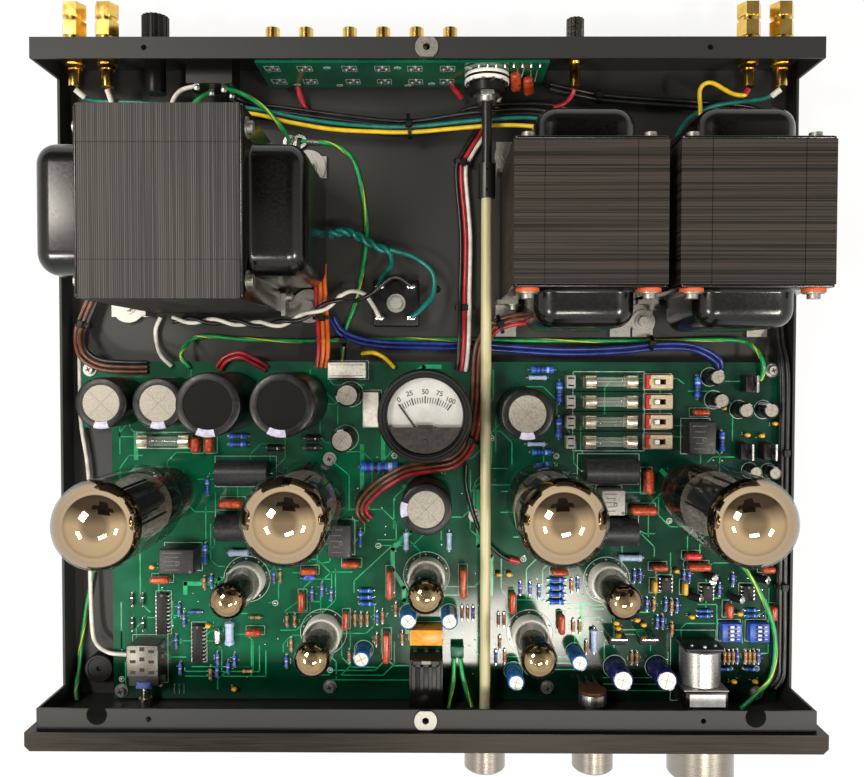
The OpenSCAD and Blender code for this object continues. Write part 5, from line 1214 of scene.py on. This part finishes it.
# %% Headphone jack
NOSE_Z = 36.1
low, high = box_mm("headphone_jack")
nose = [(3.3, 0), (5.4, 0), (5.6, 0.3), (5.6, 13.5), (3.3, 13.5), (3.3, 0)]
bm = bmesh.new()
blocks(bm, (0, board_front, board_top), (0, 16, 0, 20, 31.5, 20, 0.6, 2, 0),
       *((x, 21, 19.6, 2.6, 17, 1.2, 0.3, 1, 0) for x in (-7.4, -2.5, 2.5, 7.4)))
blocks(bm, (0, high.y, board_top), (0, -2.6, 18.6, 16, 4.2, 2.2, 0.4, 1, 0),
       (0, -1.6, 20.4, 6, 2.4, 0.8, 0.3, 1, 2), *((x, 0.2, 0, 2.2, 0.6, 7, 0.2, 1, 1) for x in (-7, 0, 7)))
stamp(bm, turned(nose, 32, 1), (0, low.y, NOSE_Z), lay=ALONG_BACK)
piece("headphone_jack_body", bm, "plastic_black pot_metal switch_steel", ["headphone_jack"])

# %% [markdown]
# The input selector is a rotary wafer switch on the back board, turned from the front
# by the long rod. White moulded wafer, black index plate, metal bush: a stack of short
# turned rings along the rod.

# %% Selector switch
low, high = box_mm("selector_switch")
hub = Vector(((low.x + high.x) / 2, high.y, SHAFT_Z))
wafer = [(0, 0), (12.6, 0), (13.2, 0.5), (13.2, 2.4), (12.2, 2.8), (12.2, 3.4), (13.2, 3.8), (13.2, 5.6),
         (12.6, 6), (10.8, 6), (10.8, 11.4), (10.2, 12), (0, 12)]
bush = [(3.2, 12), (5.6, 12), (5.6, 16.4), (5.0, 17), (3.2, 17), (3.2, 12)]
TAGS, TAG_REACH = 12, 11.4
bm = bmesh.new()
for shape in (turned(wafer, 40, lambda c: 2 if c.z > 5.9 or 2.5 < c.z < 3.7 else 0), turned(bush, 24, 1),
              washer(3.2, 8, 12, 13.6, 6, 1)):
    stamp(bm, shape, hub, lay=ALONG_FRONT)
for k in range(TAGS):
    a = math.tau * (k + 0.5) / TAGS
    spot = TAG_REACH * math.cos(a), -6.2, TAG_REACH * math.sin(a) - 1
    blocks(bm, hub, (*spot, 1.6, 0.5, 4.2, 0.15, 1, 1))
piece("selector_wafers", bm, "wafer_white pot_metal plastic_black", ["selector_switch"])

# %% [markdown]
# Leads lie side by side in bundles, twist into pairs, and carry a wound stripe. All of
# that can be worked out from one typed run: moved sideways it gives the next lead of a
# bundle, and wound about its own line it gives a twist or a stripe.

# %% Runs and helices
def way_at(points, k):
    """The step between the neighbours of a point, which gives a run's direction there."""
    return points[min(k + 1, len(points) - 1)] - points[max(k - 1, 0)]


def aside(way):
    return Vector((way.y, -way.x, 0)).normalized()


def run(points, side=0.0, rise=0.0):
    """Points moved sideways and up, for leads that lie beside one another."""
    points = [Vector(p) for p in points]
    lift = Vector((0, 0, rise))
    return [p + side * aside(way_at(points, k)) + lift for k, p in enumerate(points)]


def length_of(points):
    return sum((b - a).length for a, b in zip(points, points[1:]))


def smooth(points, steps):
    """Finer points on the smooth line through the given ones."""
    fine = []
    for k in range(len(points) - 1):
        a, b, c, d = (points[max(0, min(len(points) - 1, k + j))] for j in (-1, 0, 1, 2))
        for t in (s / steps for s in range(steps)):
            bend = (2 * a - 5 * b + 4 * c - d) * t * t + (3 * b - a - 3 * c + d) * t * t * t
            fine.append(0.5 * (2 * b + (c - a) * t + bend))
    return fine + [points[-1]]


def around(points, r, turns, phase):
    """A helix about a line, for twisted pairs and for the stripe on earth leads."""
    ring = []
    for k, p in enumerate(points):
        way = way_at(points, k).normalized()
        flat = aside(way)
        a = math.radians(phase) + math.tau * turns * k / (len(points) - 1)
        ring.append(p + r * (math.cos(a) * flat + math.sin(a) * way.cross(flat)))
    return ring


# %% [markdown]
# The leads are insulated wire, so each is a curve with a round bevel: it can be bent by
# moving a few points, and its thickness is one number. Smooth handles are set from the
# neighbouring points. Leads of one colour are one object.

# %% Lead curves
def leads(name, coat, slot, *runs, r=1.3, stands_for=()):
    curve = bpy.data.curves.new(name, "CURVE")
    curve.dimensions = "3D"
    curve.bevel_depth = r / 1000
    curve.bevel_resolution = 3
    curve.resolution_u = 6
    curve.use_fill_caps = True
    for points in runs:
        spline = curve.splines.new("BEZIER")
        spline.bezier_points.add(len(points) - 1)
        for k, knot in enumerate(spline.bezier_points):
            reach = way_at(points, k) / 6000
            knot.co = points[k] / 1000
            knot.handle_left, knot.handle_right = knot.co - reach, knot.co + reach
    mount(name, curve, coat, stands_for)
    print(name, len(runs), "leads")


family(6.0, (0.28, 0.42), "wire_black 0f0f10 1d1d1f", "wire_white b9b6ae d8d5cd",
       "wire_yellow d4ae10 e8c424", "wire_teal 085852 0e726a", "wire_green 0a7a3c 159a50",
       "wire_red 8c1620 aa2630", "wire_brown 4c2a1a 6c4030", "wire_orange b84d12 d06a22",
       "wire_blue 111f60 1b2f80", "wire_stripe c9b51e dccb3a")
print("wire colours", len([name for name in coats if name.startswith("wire_")]))

# %% [markdown]
# The runs follow the photograph. First come the earth leads, the white ones and the
# output leads along the back. Places are in millimetres in the shared frame.

# %% Earth, white and output runs
earth_in = [(-120, 179.5, 42), (-110, 177, 40), (-98, 170, 37), (-90, 162, 35), (-86, 156.5, 27),
            (-85, 154, 20)]
earth_left = [(-129, 179.5, 36), (-137, 175.5, 36), (-142, 168, 35.5), (-142, 157, 28), (-141, 148, 17)]
earth_run = [(-79, 155.5, 15.5), (-66, 155, 14.8), (-55, 152, 14.8), (-46, 143, 14.8), (-41, 125, 14.8),
             (-38, 104, 14.8), (-39, 86, 14.8), (-42, 68, 14.8), (-45, 54, 14.8), (-51, 39, 14.8),
             (-53, 26, 14.8), (-53, 8, 14.8)]
green_run = [(-146, 14, 26.6), (-151, 22, 27), (-148, 31, 18), (-138, 34, 15.2), (-116, 32, 15.2),
             (-79, 31, 15.2), (-52, 31.5, 17.3), (-30, 32, 15.2), (8, 32, 15.2), (60, 31.4, 15.2),
             (107, 31.4, 15.2), (140, 31.4, 15.2), (190, 32, 18), (201, 27, 25), (205, 17, 30),
             (205, 7, 26.8)]
left_earth = [(-207, -60, 16), (-206.5, -90, 15.5), (-213.5, -126, 15.5), (-218.5, -156, 16),
              (-219.8, -176, 18), (-219, -186, 24), (-217, -192.5, 28)]
right_earth = [(184, -99, 26.8), (192, -106, 36), (203, -125, 40), (210, -147, 40), (208, -171, 40),
               (198, -185, 38), (191.5, -192.5, 36)]
front_earth_a = [(17, -163, 34.4), (16.4, -176, 36), (13.5, -192.5, 37)]
front_earth_b = [(20.6, -163, 34.4), (23, -177, 36), (28, -192.5, 34)]
white_in = [(-135, 179.5, 46), (-145, 177, 45), (-151, 170, 42), (-152, 160, 34), (-150, 150, 24),
            (-150, 146.5, 17)]
white_run = [(-167, 45.6, 17), (-170, 38, 17), (-169, 29, 18), (-163, 21, 27.2), (-157, 15, 26.8)]
left_white = [(-217.5, 42, 19), (-217.5, 10, 18), (-217, -20, 18), (-213, -48, 18), (-211.5, -80, 18.5),
              (-211, -115, 20.5), (-210, -148, 21), (-206.5, -158.5, 23), (-197, -162.5, 27.5),
              (-187, -163.5, 28), (-182, -163.5, 28)]
yellow_left = [(-191, 180.6, 37.5), (-189, 173, 34), (-178, 169.8, 31), (-150, 169.4, 30), (-109, 168.5, 30),
               (-83, 163, 30), (-59, 159, 30), (-35, 157.5, 30), (-11, 157, 30), (14, 159, 30), (38, 161, 30),
               (57, 160.5, 32), (68, 157.5, 36.5), (70, 153.8, 38)]
yellow_right = [(191, 180.4, 37.5), (189, 177, 37.3), (181, 178, 37.5), (169, 184, 38), (163, 181, 36.5),
                (164, 170, 33), (164, 158, 33), (160, 153.5, 34)]
yellow_loop = [(-40, 23, 22), (-33, 23.5, 29), (-26, 20.5, 30), (-20, 14.5, 26.6)]
teal_left = [(-210.4, 180.6, 37.5), (-203, 175.6, 32), (-178, 175, 30.5), (-150, 173.2, 30),
             (-109, 171.7, 30), (-77, 165.5, 30), (-47, 161.6, 30), (-11, 160.4, 30), (32, 164.4, 30),
             (64, 165, 32), (79, 159.5, 36), (82, 153.8, 38)]
teal_right = [(210.4, 180.6, 37.5), (203, 176.5, 33), (188, 175.5, 29), (172, 173, 27.5), (160, 167, 27.5),
              (154, 160, 30), (150, 153.5, 34)]
print("green run in mm", round(length_of(run(green_run))))

# %% [markdown]
# Next are the heater pair and the mains pair, each typed as a core that is twisted and
# two ends that part from it, then the bundles: the speaker harness down the right side,
# the centre bundle and the meter's leads round the meter.

# %% Pairs and bundles
teal_core = [(-58.6, 95, 32), (-48, 97, 29), (-36, 91, 27), (-22, 85, 27)]
teal_end_a = [(-22, 77, 28), (-27, 69, 34), (-28.5, 63.5, 37.2)]
teal_end_b = [(-8, 82, 27), (3, 73, 28), (4, 60, 30), (-3, 50, 35), (-9.5, 44.5, 37.2)]
mains_pair = [(-158, 44, 21), (-142, 43.2, 22), (-123, 42.5, 23.5), (-104, 41, 26), (-86, 42, 29.3),
              (-67, 49, 31.5), (-52, 57, 30)]
white_end = [(-46, 61, 29), (-38, 59, 30), (-32, 51, 34), (-28.5, 44.5, 37.2)]
black_end = [(-45, 54.5, 33), (-34, 58, 39), (-20, 68.5, 40), (-9.5, 63.5, 37.2)]
black_back = [(-118, 179.5, 31), (-114, 177.5, 27), (-104, 175, 24.5), (-90, 174, 24), (-47, 168, 25),
              (-11, 165, 25.5), (26, 170, 26), (63, 172, 26), (86, 166, 31), (94, 159, 36), (95, 153.8, 38)]
black_floor = [(-114, 171, 15), (-90, 169, 15), (-47, 163, 15.4), (-11, 160, 16), (12, 163, 18),
               (26, 174, 22), (70, 176.5, 22), (92, 170, 26), (100, 161, 34), (100, 153.8, 38)]
black_loop = [(24, -44, 37), (24.5, -60, 34), (33, -86, 31), (46, -101, 29), (57, -105.5, 26.9)]
harness = [(74, 185, 30), (90, 182, 28), (110, 180, 24), (150, 178, 21), (190, 176, 19), (206, 172, 18),
           (217, 160, 18), (218.5, 120, 18), (218.5, 60, 18), (218.5, 32, 22), (219.2, 10, 28.5),
           (219.2, -40, 28.5), (219.2, -100, 28.5), (219.2, -160, 28.5), (218.5, -175, 28.5),
           (214.5, -182.5, 27.6)]
orange_run = [(-66, 78, 24.5), (-66, 68, 24.6), (-64.5, 44, 24.6), (-63.5, 26, 27.5), (-65, 14.5, 26.6)]
blue_run = [(-58, 46, 20.5), (-51, 36.5, 20.5), (-33, 31, 20.5), (0, 29.5, 20.5), (33, 29, 20.5),
            (82, 26, 20.5), (119, 27, 20.5), (144, 29.5, 20.5), (165, 28.5, 22), (178, 21, 28),
            (181, 14.5, 26.8)]
centre_run = [(41, 187.4, 21), (37, 177, 16.5), (31, 163, 16), (22, 148, 17), (18, 136, 17.5), (21, 97, 17.5),
              (20.5, 60, 18.5), (20, 36, 27.5), (19, 21, 28.5), (18, 13, 26.6)]
meter_run = [(66, 45, 24.2), (54, 44, 25), (42, 40, 27), (35, 32, 29), (31.8, 21, 29.5), (30.5, -6, 29),
             (26.5, -31, 29.5), (17, -42.5, 31), (2, -46, 32), (-13, -48.5, 34.5), (-28, -57, 34.5),
             (-38, -67, 30), (-40, -75, 27), (-36, -80, 26.6)]
brown_run = [(-203, 72, 24), (-207, 58, 22), (-212, 46, 22), (-214.5, 34, 24), (-210.5, 22.5, 28.5),
             (-200, 16, 28.5), (-184, 14.5, 27.6), (-172, 14.5, 26.6)]
red_loop = [(-129, 14.5, 26.5), (-124, 20.5, 29), (-114, 23.5, 31), (-106, 20, 30), (-98, 15, 26.6)]
red_signal = [(-80, 187.7, 21), (-79, 181, 20), (-76, 176, 18), (-72, 172.5, 16)]
ground_pair = [(88, 180.6, 36), (86.5, 177, 35.2), (82, 172.5, 35.2), (76, 170, 36)]
print("harness in mm", round(length_of(run(harness))))

# %% [markdown]
# An earth lead is green with a yellow stripe wound round it. The stripe is a thinner
# lead on a helix about the same line. Leads of a bundle lie a gap apart, a little over
# the thickness of one lead.

# %% Lead objects
GAP, STRIPE_PITCH = 2.9, 46


def twisted(core, end, turns, phase):
    return around(smooth(run(core), 10), 1.4, turns, phase) + run(end)


earths = [run(line) for line in (earth_in, earth_left, earth_run, green_run, left_earth, right_earth,
                                 front_earth_a, front_earth_b)]
stripes = []
for line in earths:
    fine = smooth(line, 12)
    stripes.append(around(fine, 0.92, length_of(fine) / STRIPE_PITCH, 60))
leads("leads_green", "wire_green", "wire_teal", *earths,
      stands_for=["rear_wiring", "supply_wiring", "board_wiring", "side_wiring"])
leads("leads_green_stripe", "wire_stripe", "wire_yellow", *stripes, r=0.5)
leads("leads_black", "wire_black", "wire_black", run(black_back), run(black_back, GAP), run(brown_run, -GAP),
      run(black_floor), run(black_loop), twisted(mains_pair, black_end, 4, 0), run(centre_run),
      *(run(harness, side, rise) for side in (0, GAP) for rise in (0, GAP)))
leads("leads_white", "wire_white", "wire_black", run(white_in), run(white_run), run(left_white),
      twisted(mains_pair, white_end, 4, 180), run(centre_run, -2 * GAP))
leads("leads_yellow", "wire_yellow", "wire_yellow", run(yellow_left), run(yellow_right), run(yellow_loop))
leads("leads_teal", "wire_teal", "wire_teal", run(teal_left), run(teal_right))
leads("leads_heater", "wire_teal", "wire_teal", twisted(teal_core, teal_end_a, 3, 0),
      twisted(teal_core, teal_end_b, 3, 180), r=1.5)
leads("leads_red", "wire_red", "wire_brown", run(red_signal), run(ground_pair), run(red_loop),
      run(red_loop, GAP), run(meter_run, -GAP), run(centre_run, -GAP), run(orange_run, GAP))
leads("leads_brown", "wire_brown", "wire_brown", run(meter_run, GAP), run(meter_run), run(brown_run),
      run(brown_run, GAP))
leads("leads_orange", "wire_orange", "wire_brown", run(orange_run, -GAP), run(orange_run))
leads("leads_blue", "wire_blue", "wire_teal", run(blue_run), run(blue_run, GAP))

# %% [markdown]
# Cable ties are nylon straps pulled round a bundle, with a square head. A strap is a
# short turned ring, squashed to the bundle's shape and turned along its run. Leads end
# in short sleeves, soldered tags and ring lugs.

# %% Cable ties and lead ends
finish("tie_nylon", "080808", "101010", 1.2, (0.35, 0.5), shine=0.25)
finish("solder", "b4b4b2", "d8d8d6", 0.6, (0.2, 0.35), metal=0.9)
TAG = 3
# Place, direction, half width and half height
ties = [((-11, 161, 28), (1, 0.1, 0), 6.4, 4.4), ((22.5, 141.4, 17.5), (0.3, 1, 0), 5.2, 1.9),
        ((23.4, 51.6, 18.8), (0, 1, 0), 5.2, 1.9), ((217.8, -37, 30), (0, 1, 0), 3.4, 3.4),
        ((217.8, -119, 30), (0, 1, 0), 3.4, 3.4), ((-64.6, 45, 24.8), (0, 1, 0), 4.9, 1.9),
        ((-213.6, 41, 21.4), (0.3, 1, 0), 4.6, 3.4), ((139, 29.8, 18.3), (1, 0, 0), 4.2, 5.0),
        ((104, 179.2, 26.6), (1, -0.1, 0), 3.4, 3.4), ((26.6, -30, 30), (0.35, 1, 0), 4.9, 2.0),
        ((45, 41.2, 26.4), (1, 0.3, 0), 4.9, 2.0), ((-52, 31, 18), (1, 0, 0), 3.0, 4.4)]
# Both ends and the finish's number
sleeves = [((-210.4, 180.4, 37.5), (-206, 176.6, 34.2), 1), ((-191, 180.4, 37.5), (-189.6, 174, 34.6), 1),
           ((210.4, 180.4, 37.5), (206, 177.2, 34.6), 1), ((191, 180.4, 37.5), (189.2, 177.2, 37.3), 2),
           ((-80, 187, 20.9), (-77, 177.6, 18.8), 2), ((15, 186, 27), (21, 181, 20), 2),
           ((57, -105.3, 26.8), (51, -103.6, 28.2), 2)]
bm = bmesh.new()
strap, head = washer(1, 1.22, -1.1, 1.1, 28), boxed(4.4, 3.6, 2.4, 0.4, 1)
for place, way, half_w, half_h in ties:
    along = Vector(way).normalized()
    stand = Matrix((aside(along), Vector((0, 0, 1)), along)).transposed().to_4x4()
    stamp(bm, strap, place, lay=stand, size=(half_w, half_h, 1))
    stamp(bm, head, Vector(place) + Vector((0, 0, half_h)), turn=math.degrees(math.atan2(way[1], way[0])))
for a, b, tint in sleeves:
    rod(bm, a, b, 1.75, tint, 12)
drop = turned([(0, -1.6), (1.7, -0.8), (1.9, 0), (1.7, 0.9), (0, 1.8)], 12, TAG)
for x, z in ((-120, 42), (-129, 36), (-135, 46), (-118, 31)):
    stamp(bm, boxed(3, 6, 0.9, 0.2, 1, TAG), (x, 180, z - 0.4))
    stamp(bm, drop, (x, 178.6, z))
for lug in ((-85, 153.75, 19.4), (-79.5, 155.4, 15)):
    stamp(bm, washer(2.3, 4.3, 0, 0.8, 24, TAG), lug)
rod(bm, (-75, 155.3, 15.4), (-68, 155.1, 15), 1.7, TAG, 12)
piece("tie_straps", bm, "tie_nylon wire_white wire_red solder")

# %% [markdown]
# The screws that hold the board are plain discs in the frame. A dark cross laid on each
# head is painted shade that reads as the recess for the driver.

# %% Screw recesses as painted shade
screws = [(-190, 5), (-60, 8), (75, 8), (205, 5), (-190, 100), (30, 115), (212, 115), (-208, 205), (-60, 150),
          (212, 205)]
# Painted shade: a flat black cross where the driver recess would lie in shade.
bm = bmesh.new()
for x, y in screws:
    for turn in (20, 110):
        stamp(bm, boxed(3.2, 0.8, 0.1, 0, 1), at(x, y, 3.35), turn=turn)
piece("screw_recess_shade", bm, "needle_black")

# %% [markdown]
# Copper tracks show through the solder mask as paler green lines, and white ink marks
# the parts with outlines. Both are thin strips laid a few hundredths of a millimetre
# above the board, and a solder joint is a small turned drop.

# %% Strips, rings and joints
finish("track_green", "0d8452", "16a068", 5.0, (0.16, 0.26))
finish("mask_dark", "06281c", "0a3626", 5.0, (0.12, 0.22))
finish("ink_white", "94aa9f", "b2c4ba", 2.0, (0.4, 0.55))
TRACK, INK, BLOB, SHADE, BLUE_BOX = range(5)
INK_Z = 0.03


def strip(points, width, tint, lift):
    """A flat line along points on the board."""
    for a, b in zip(points, points[1:]):
        step = Vector(b) - Vector(a)
        middle = Vector(a) + step / 2
        line = boxed(step.length + width * 0.8, width, 0.05, 0, 1, tint)
        stamp(bm, line, at(*middle, lift), turn=math.degrees(math.atan2(step.y, step.x)))


def frame_of(x, y, w, d, width=0.35):
    x0, x1, y0, y1 = x - w / 2, x + w / 2, y - d / 2, y + d / 2
    strip([(x0, y0), (x1, y0), (x1, y1), (x0, y1), (x0, y0)], width, INK, INK_Z)


def ring_of(x, y, r, width):
    stamp(bm, washer(r, r + width, INK_Z, 0.09, 40, INK), at(x, y))


def blob(x, y, r=0.95):
    stamp(bm, turned([(r, 0), (r * 0.8, 0.35), (0.35, 0.75), (0, 0.8)], 10, BLOB), at(x, y))


# %% [markdown]
# The tracks that show plainly are typed, wide ones for current and thin ones for
# signals. The many faint ones between them are drawn by chance, from a fixed seed, as
# two straights with a slanted step, which is how such boards are laid out.

# %% Tracks
wide_tracks = [[(-40, 158), (-40, 129), (-36, 126)],
               [(-14, 133), (-9.5, 129), (-9.5, 105), (-21, 94), (-21, 81), (-14, 70), (-14, 62), (-12, 59),
                (-12, 42)],
               [(-180, 166), (-180, 150)], [(145, 143), (152, 136)], [(-8, 203), (-2, 207), (8, 207)],
               [(-27, 172), (-27, 150)], [(96, 28), (96, 60)], [(-200, 195), (-200, 175)],
               [(32, 130), (32, 96), (40, 90), (40, 66)],
               [(-150, 66), (-150, 72), (-131, 72), (-129, 75), (-118, 75)]]
thin_tracks = [[(-14, 103), (-45, 74), (-45, 67)], [(27, 143), (27, 106), (35, 99), (35, 76)],
               [(9, 106), (9, 100)], [(-24, 33), (-24, 26), (-32, 18), (-60, 18)],
               [(-20, 36), (-20, 22), (-27, 15), (-60, 15)], [(-2, 12), (-60, 12)], [(46, 117), (56, 117)],
               [(46, 130), (53, 130)], [(86, 170), (92, 160), (92, 155)], [(95, 170), (95, 155)],
               [(88, 57), (110, 57)], [(76, 78), (76, 64)], [(50, 27), (94, 27)], [(50, 23), (94, 23)],
               [(50, 19), (94, 19)], [(110, 14), (160, 14)], [(110, 10), (160, 10)], [(110, 6), (160, 6)],
               [(98, 200), (154, 200), (158, 197)], [(128, 108), (135, 104), (141, 104)],
               [(142, 82), (142, 60)], [(121, 97), (121, 84)], [(151, 92), (151, 78)], [(117, 55), (138, 55)],
               [(168, 64), (182, 64)], [(-137, 120), (-137, 100)], [(-131, 129), (-131, 108)],
               [(-178, 96), (-178, 60), (-172, 54)], [(-165, 69), (-158, 62), (-158, 44)],
               [(-103, 79), (-92, 79), (-92, 62), (-98, 60)], [(-88, 55), (-80, 61), (-66, 61)],
               [(-100, 30), (-100, 14), (-150, 14)], [(-104, 33), (-104, 17), (-150, 17)],
               [(-109, 36), (-109, 20), (-146, 20)], [(-60, 96), (-60, 86), (-70, 84)],
               [(-95, 120), (-88, 112), (-88, 90)], [(150, 30), (150, 22)], [(180, 40), (180, 60), (168, 60)],
               [(196, 36), (196, 50)], [(212, 36), (212, 70)], [(-190, 60), (-190, 30), (-182, 22)],
               [(-170, 34), (-160, 26), (-150, 26)], [(62, 95), (70, 88), (92, 88)],
               [(-58, 148), (-48, 140), (-48, 118)], [(176, 110), (182, 104), (182, 90)],
               [(196, 120), (196, 96)], [(206, 130), (206, 100)], [(58, 30), (72, 30)],
               [(36, 60), (36, 44), (30, 38)]]
draw = random.Random(21)
for k in range(110):
    x, y = draw.uniform(-185, 200), draw.uniform(14, 200)
    side, up, bend = draw.choice((-1, 1)), draw.choice((-1, 1)), draw.uniform(3, 9)
    far = draw.uniform(8, 26)
    turn_x, end_y = x + side * (far + bend), y + up * (bend + draw.uniform(5, 24))
    line = [(x, y), (x + side * far, y), (turn_x, y + up * bend), (turn_x, end_y)]
    thin_tracks.append([(min(max(px, -190), 212), min(max(py, 6), 205)) for px, py in line])
bm = bmesh.new()
for line in wide_tracks:
    strip(line, 2.6, TRACK, 0.01)
for line in thin_tracks:
    strip(line, 0.7, TRACK, 0.015)
print("tracks", len(wide_tracks) + len(thin_tracks))

# %% [markdown]
# Outlines follow the parts they belong to, so they are drawn from the same lists. Each
# tube socket has a dark field with a ring of nine joints, and every lead of a resistor
# ends in a drop of solder. Small marks and loose joints fill the space between.

# %% Outlines and joints
# Middle, width and depth of outlines that are typed
outlines = [(165.5, 164.5, 18, 22), (-151, 89, 23.5, 17.5), (112.5, 125.3, 16, 17), (-52.5, 101.5, 16, 22),
            (-163.5, 54, 9.6, 27), (-141.5, 35.5, 9.6, 25), (147.5, 73, 9.6, 11), (173, 68, 9.6, 11),
            (198, 68, 9.6, 11), (-112, 142, 38, 19), (-112, 108.5, 38, 19), (112, 144, 38, 19),
            (112, 106.5, 38, 19), (187.5, 44, 14, 13.5), (204.5, 44, 14, 13.5), (0, 43, 22, 11.5),
            (-48.5, 204.8, 25, 11.5), (-33.8, 181, 11.5, 23), (165.5, 22, 28, 44), (-172, 25, 22, 30)]
for x, y, w, d in outlines:
    frame_of(x, y, w, d)
for y in FUSE_ROWS:
    frame_of(112, y, 44, 12.2, 0.5)
    frame_of(142, y, 17.4, 9.8)
frame_of(-160.5, 161.2, 38, 10, 0.5)
for x, y, length, thick, tall, along in dipped:
    sides = (thick + 1.6, length + 1.6) if along else (length + 1.6, thick + 1.6)
    frame_of(x, y, *sides, 0.25)
for x, y in small_tubes:
    stamp(bm, disc(14.2, 0.04, 40, SHADE, z=0.02), at(x, y))
    ring_of(x, y, 14.2, 0.35)
    for k in range(9):
        a = math.radians(36 * k + 20)
        blob(x + 12.8 * math.cos(a), y + 12.8 * math.sin(a), 0.8)
for x, y, r, h, turn in silver_caps + blue_caps:
    if r < 10:
        ring_of(x, y, r + 0.7, 0.35)
small_bodies = [(x, y, *SMALL, 1) for x, y in blue_small + tan_small]
for x, y, length, d, along in blue_bodies + lilac_bodies + small_bodies:
    for reach in (-length / 2 - 1.1, length / 2 + 1.1):
        blob(x + (0 if along else reach), y + (reach if along else 0))
draw = random.Random(7)
for x, y in blue_small + tan_small + beads:
    for k in range(3):
        place = at(x + draw.choice((-1, 1)) * 2.4, y - 1.2 + 1.2 * k, INK_Z)
        stamp(bm, boxed(0.9, 0.3, 0.05, 0, 1, INK), place, turn=draw.choice((0, 90)))
loose = [(draw.uniform(-190, 210), draw.uniform(12, 160)) for _ in range(90)]
for x, y in loose:
    blob(x, y, draw.choice((0.4, 0.5, 0.6)))
for x, y in [(-190, 12), (205, 20), (-30, 96), (-94, 60), (88, 96), (-60, 18), (60, 88), (150, 112),
             (40, 163), (-128, 196), (80, 152), (-20, 152)]:
    ring_of(x, y, 1.3, 0.5)
    blob(x, y, 1.1)
for x in (-157, -154, -151):
    rod(bm, at(x, 3, 0.4), at(x, 9, 0.4), 0.35, BLOB, 6)
for y in (112, 116, 120, 124, 128):
    blob(-36.5, y, 1.3)
stamp(bm, boxed(6, 3.4, 6, 0.6, 2, BLUE_BOX), at(-72, 77.2, 0.6))
piece("board_print", bm, "track_green ink_white solder mask_dark dip_blue")

# %% [markdown]
# The upright input board shows its solder side. Each jack has a square outline, three
# solder joints and a pair of tin tabs that stand above the board's edge.

# %% Input board
low, high = box_mm("input_board")
face_y = low.y
PRINT, JOINT, RESIN = range(3)
SQUARE, LINE_W = 8.4, 0.35
bm = bmesh.new()
joint = turned([(1.5, 0), (1.2, 0.5), (0.5, 1.3), (0, 1.4)], 12, JOINT)
for x in (-90, -71, -45, -26, -7, 12):
    for z in (49.5, 27.5):
        for way in (-SQUARE / 2, SQUARE / 2):
            blocks(bm, (x, face_y - 0.04, z), (0, 0, way - LINE_W / 2, SQUARE, 0.06, LINE_W, 0, 1, PRINT),
                   (way, 0, -SQUARE / 2, LINE_W, 0.06, SQUARE, 0, 1, PRINT))
        for dx, dz in ((-2.2, -2), (2.2, -1.2), (0.2, 2.3)):
            stamp(bm, joint, (x + dx, face_y, z + dz), lay=ALONG_FRONT, size=(1.25, 1.25, 1))
    blocks(bm, (x, high.y, high.z), *((way, 1.2, -1.4, 3.6, 1.0, 3.4, 0.2, 1, JOINT) for way in (-4, 4)))
for x, z in ((-58, 51), (-17, 51), (24, 51), (-80, 22), (-54, 21), (-12, 21), (2.6, 24)):
    stamp(bm, washer(1.0, 2.2, 0, 0.08, 20, PRINT), (x, face_y, z), lay=ALONG_FRONT)
    stamp(bm, joint, (x, face_y, z), lay=ALONG_FRONT, size=(0.8, 0.8, 0.6))
for x in range(30, 70, 5):
    rod(bm, (x, face_y - 1.5, 55.5), (x, face_y + 1, 56), 0.6, JOINT, 8)
for x, y, z, lean in ((53.3, 181, 40, 14), (61.5, 180, 36, 20)):
    stamp(bm, boxed(6, 5, 14, 2.1, 4, RESIN), (x, y, z - 6), turn=lean, lay=spun(-25, "X"))
    for foot, top in ((0, -1), (2, 3)):
        rod(bm, (x + foot, y + 3, z + 7), (x + top, face_y, z + 12), 0.35, JOINT, 6)
piece("input_board_print", bm, "ink_white solder dip_brown")

# %% [markdown]
# The dressed amplifier has to stay the size of its solids, so how far its box reaches
# past theirs on each side is printed.

# %% Compare sizes
low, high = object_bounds()
grown = [*(cad_low - low), *(high - cad_high)]
print("grown by in mm", [round(1000 * growth, 2) for growth in grown])
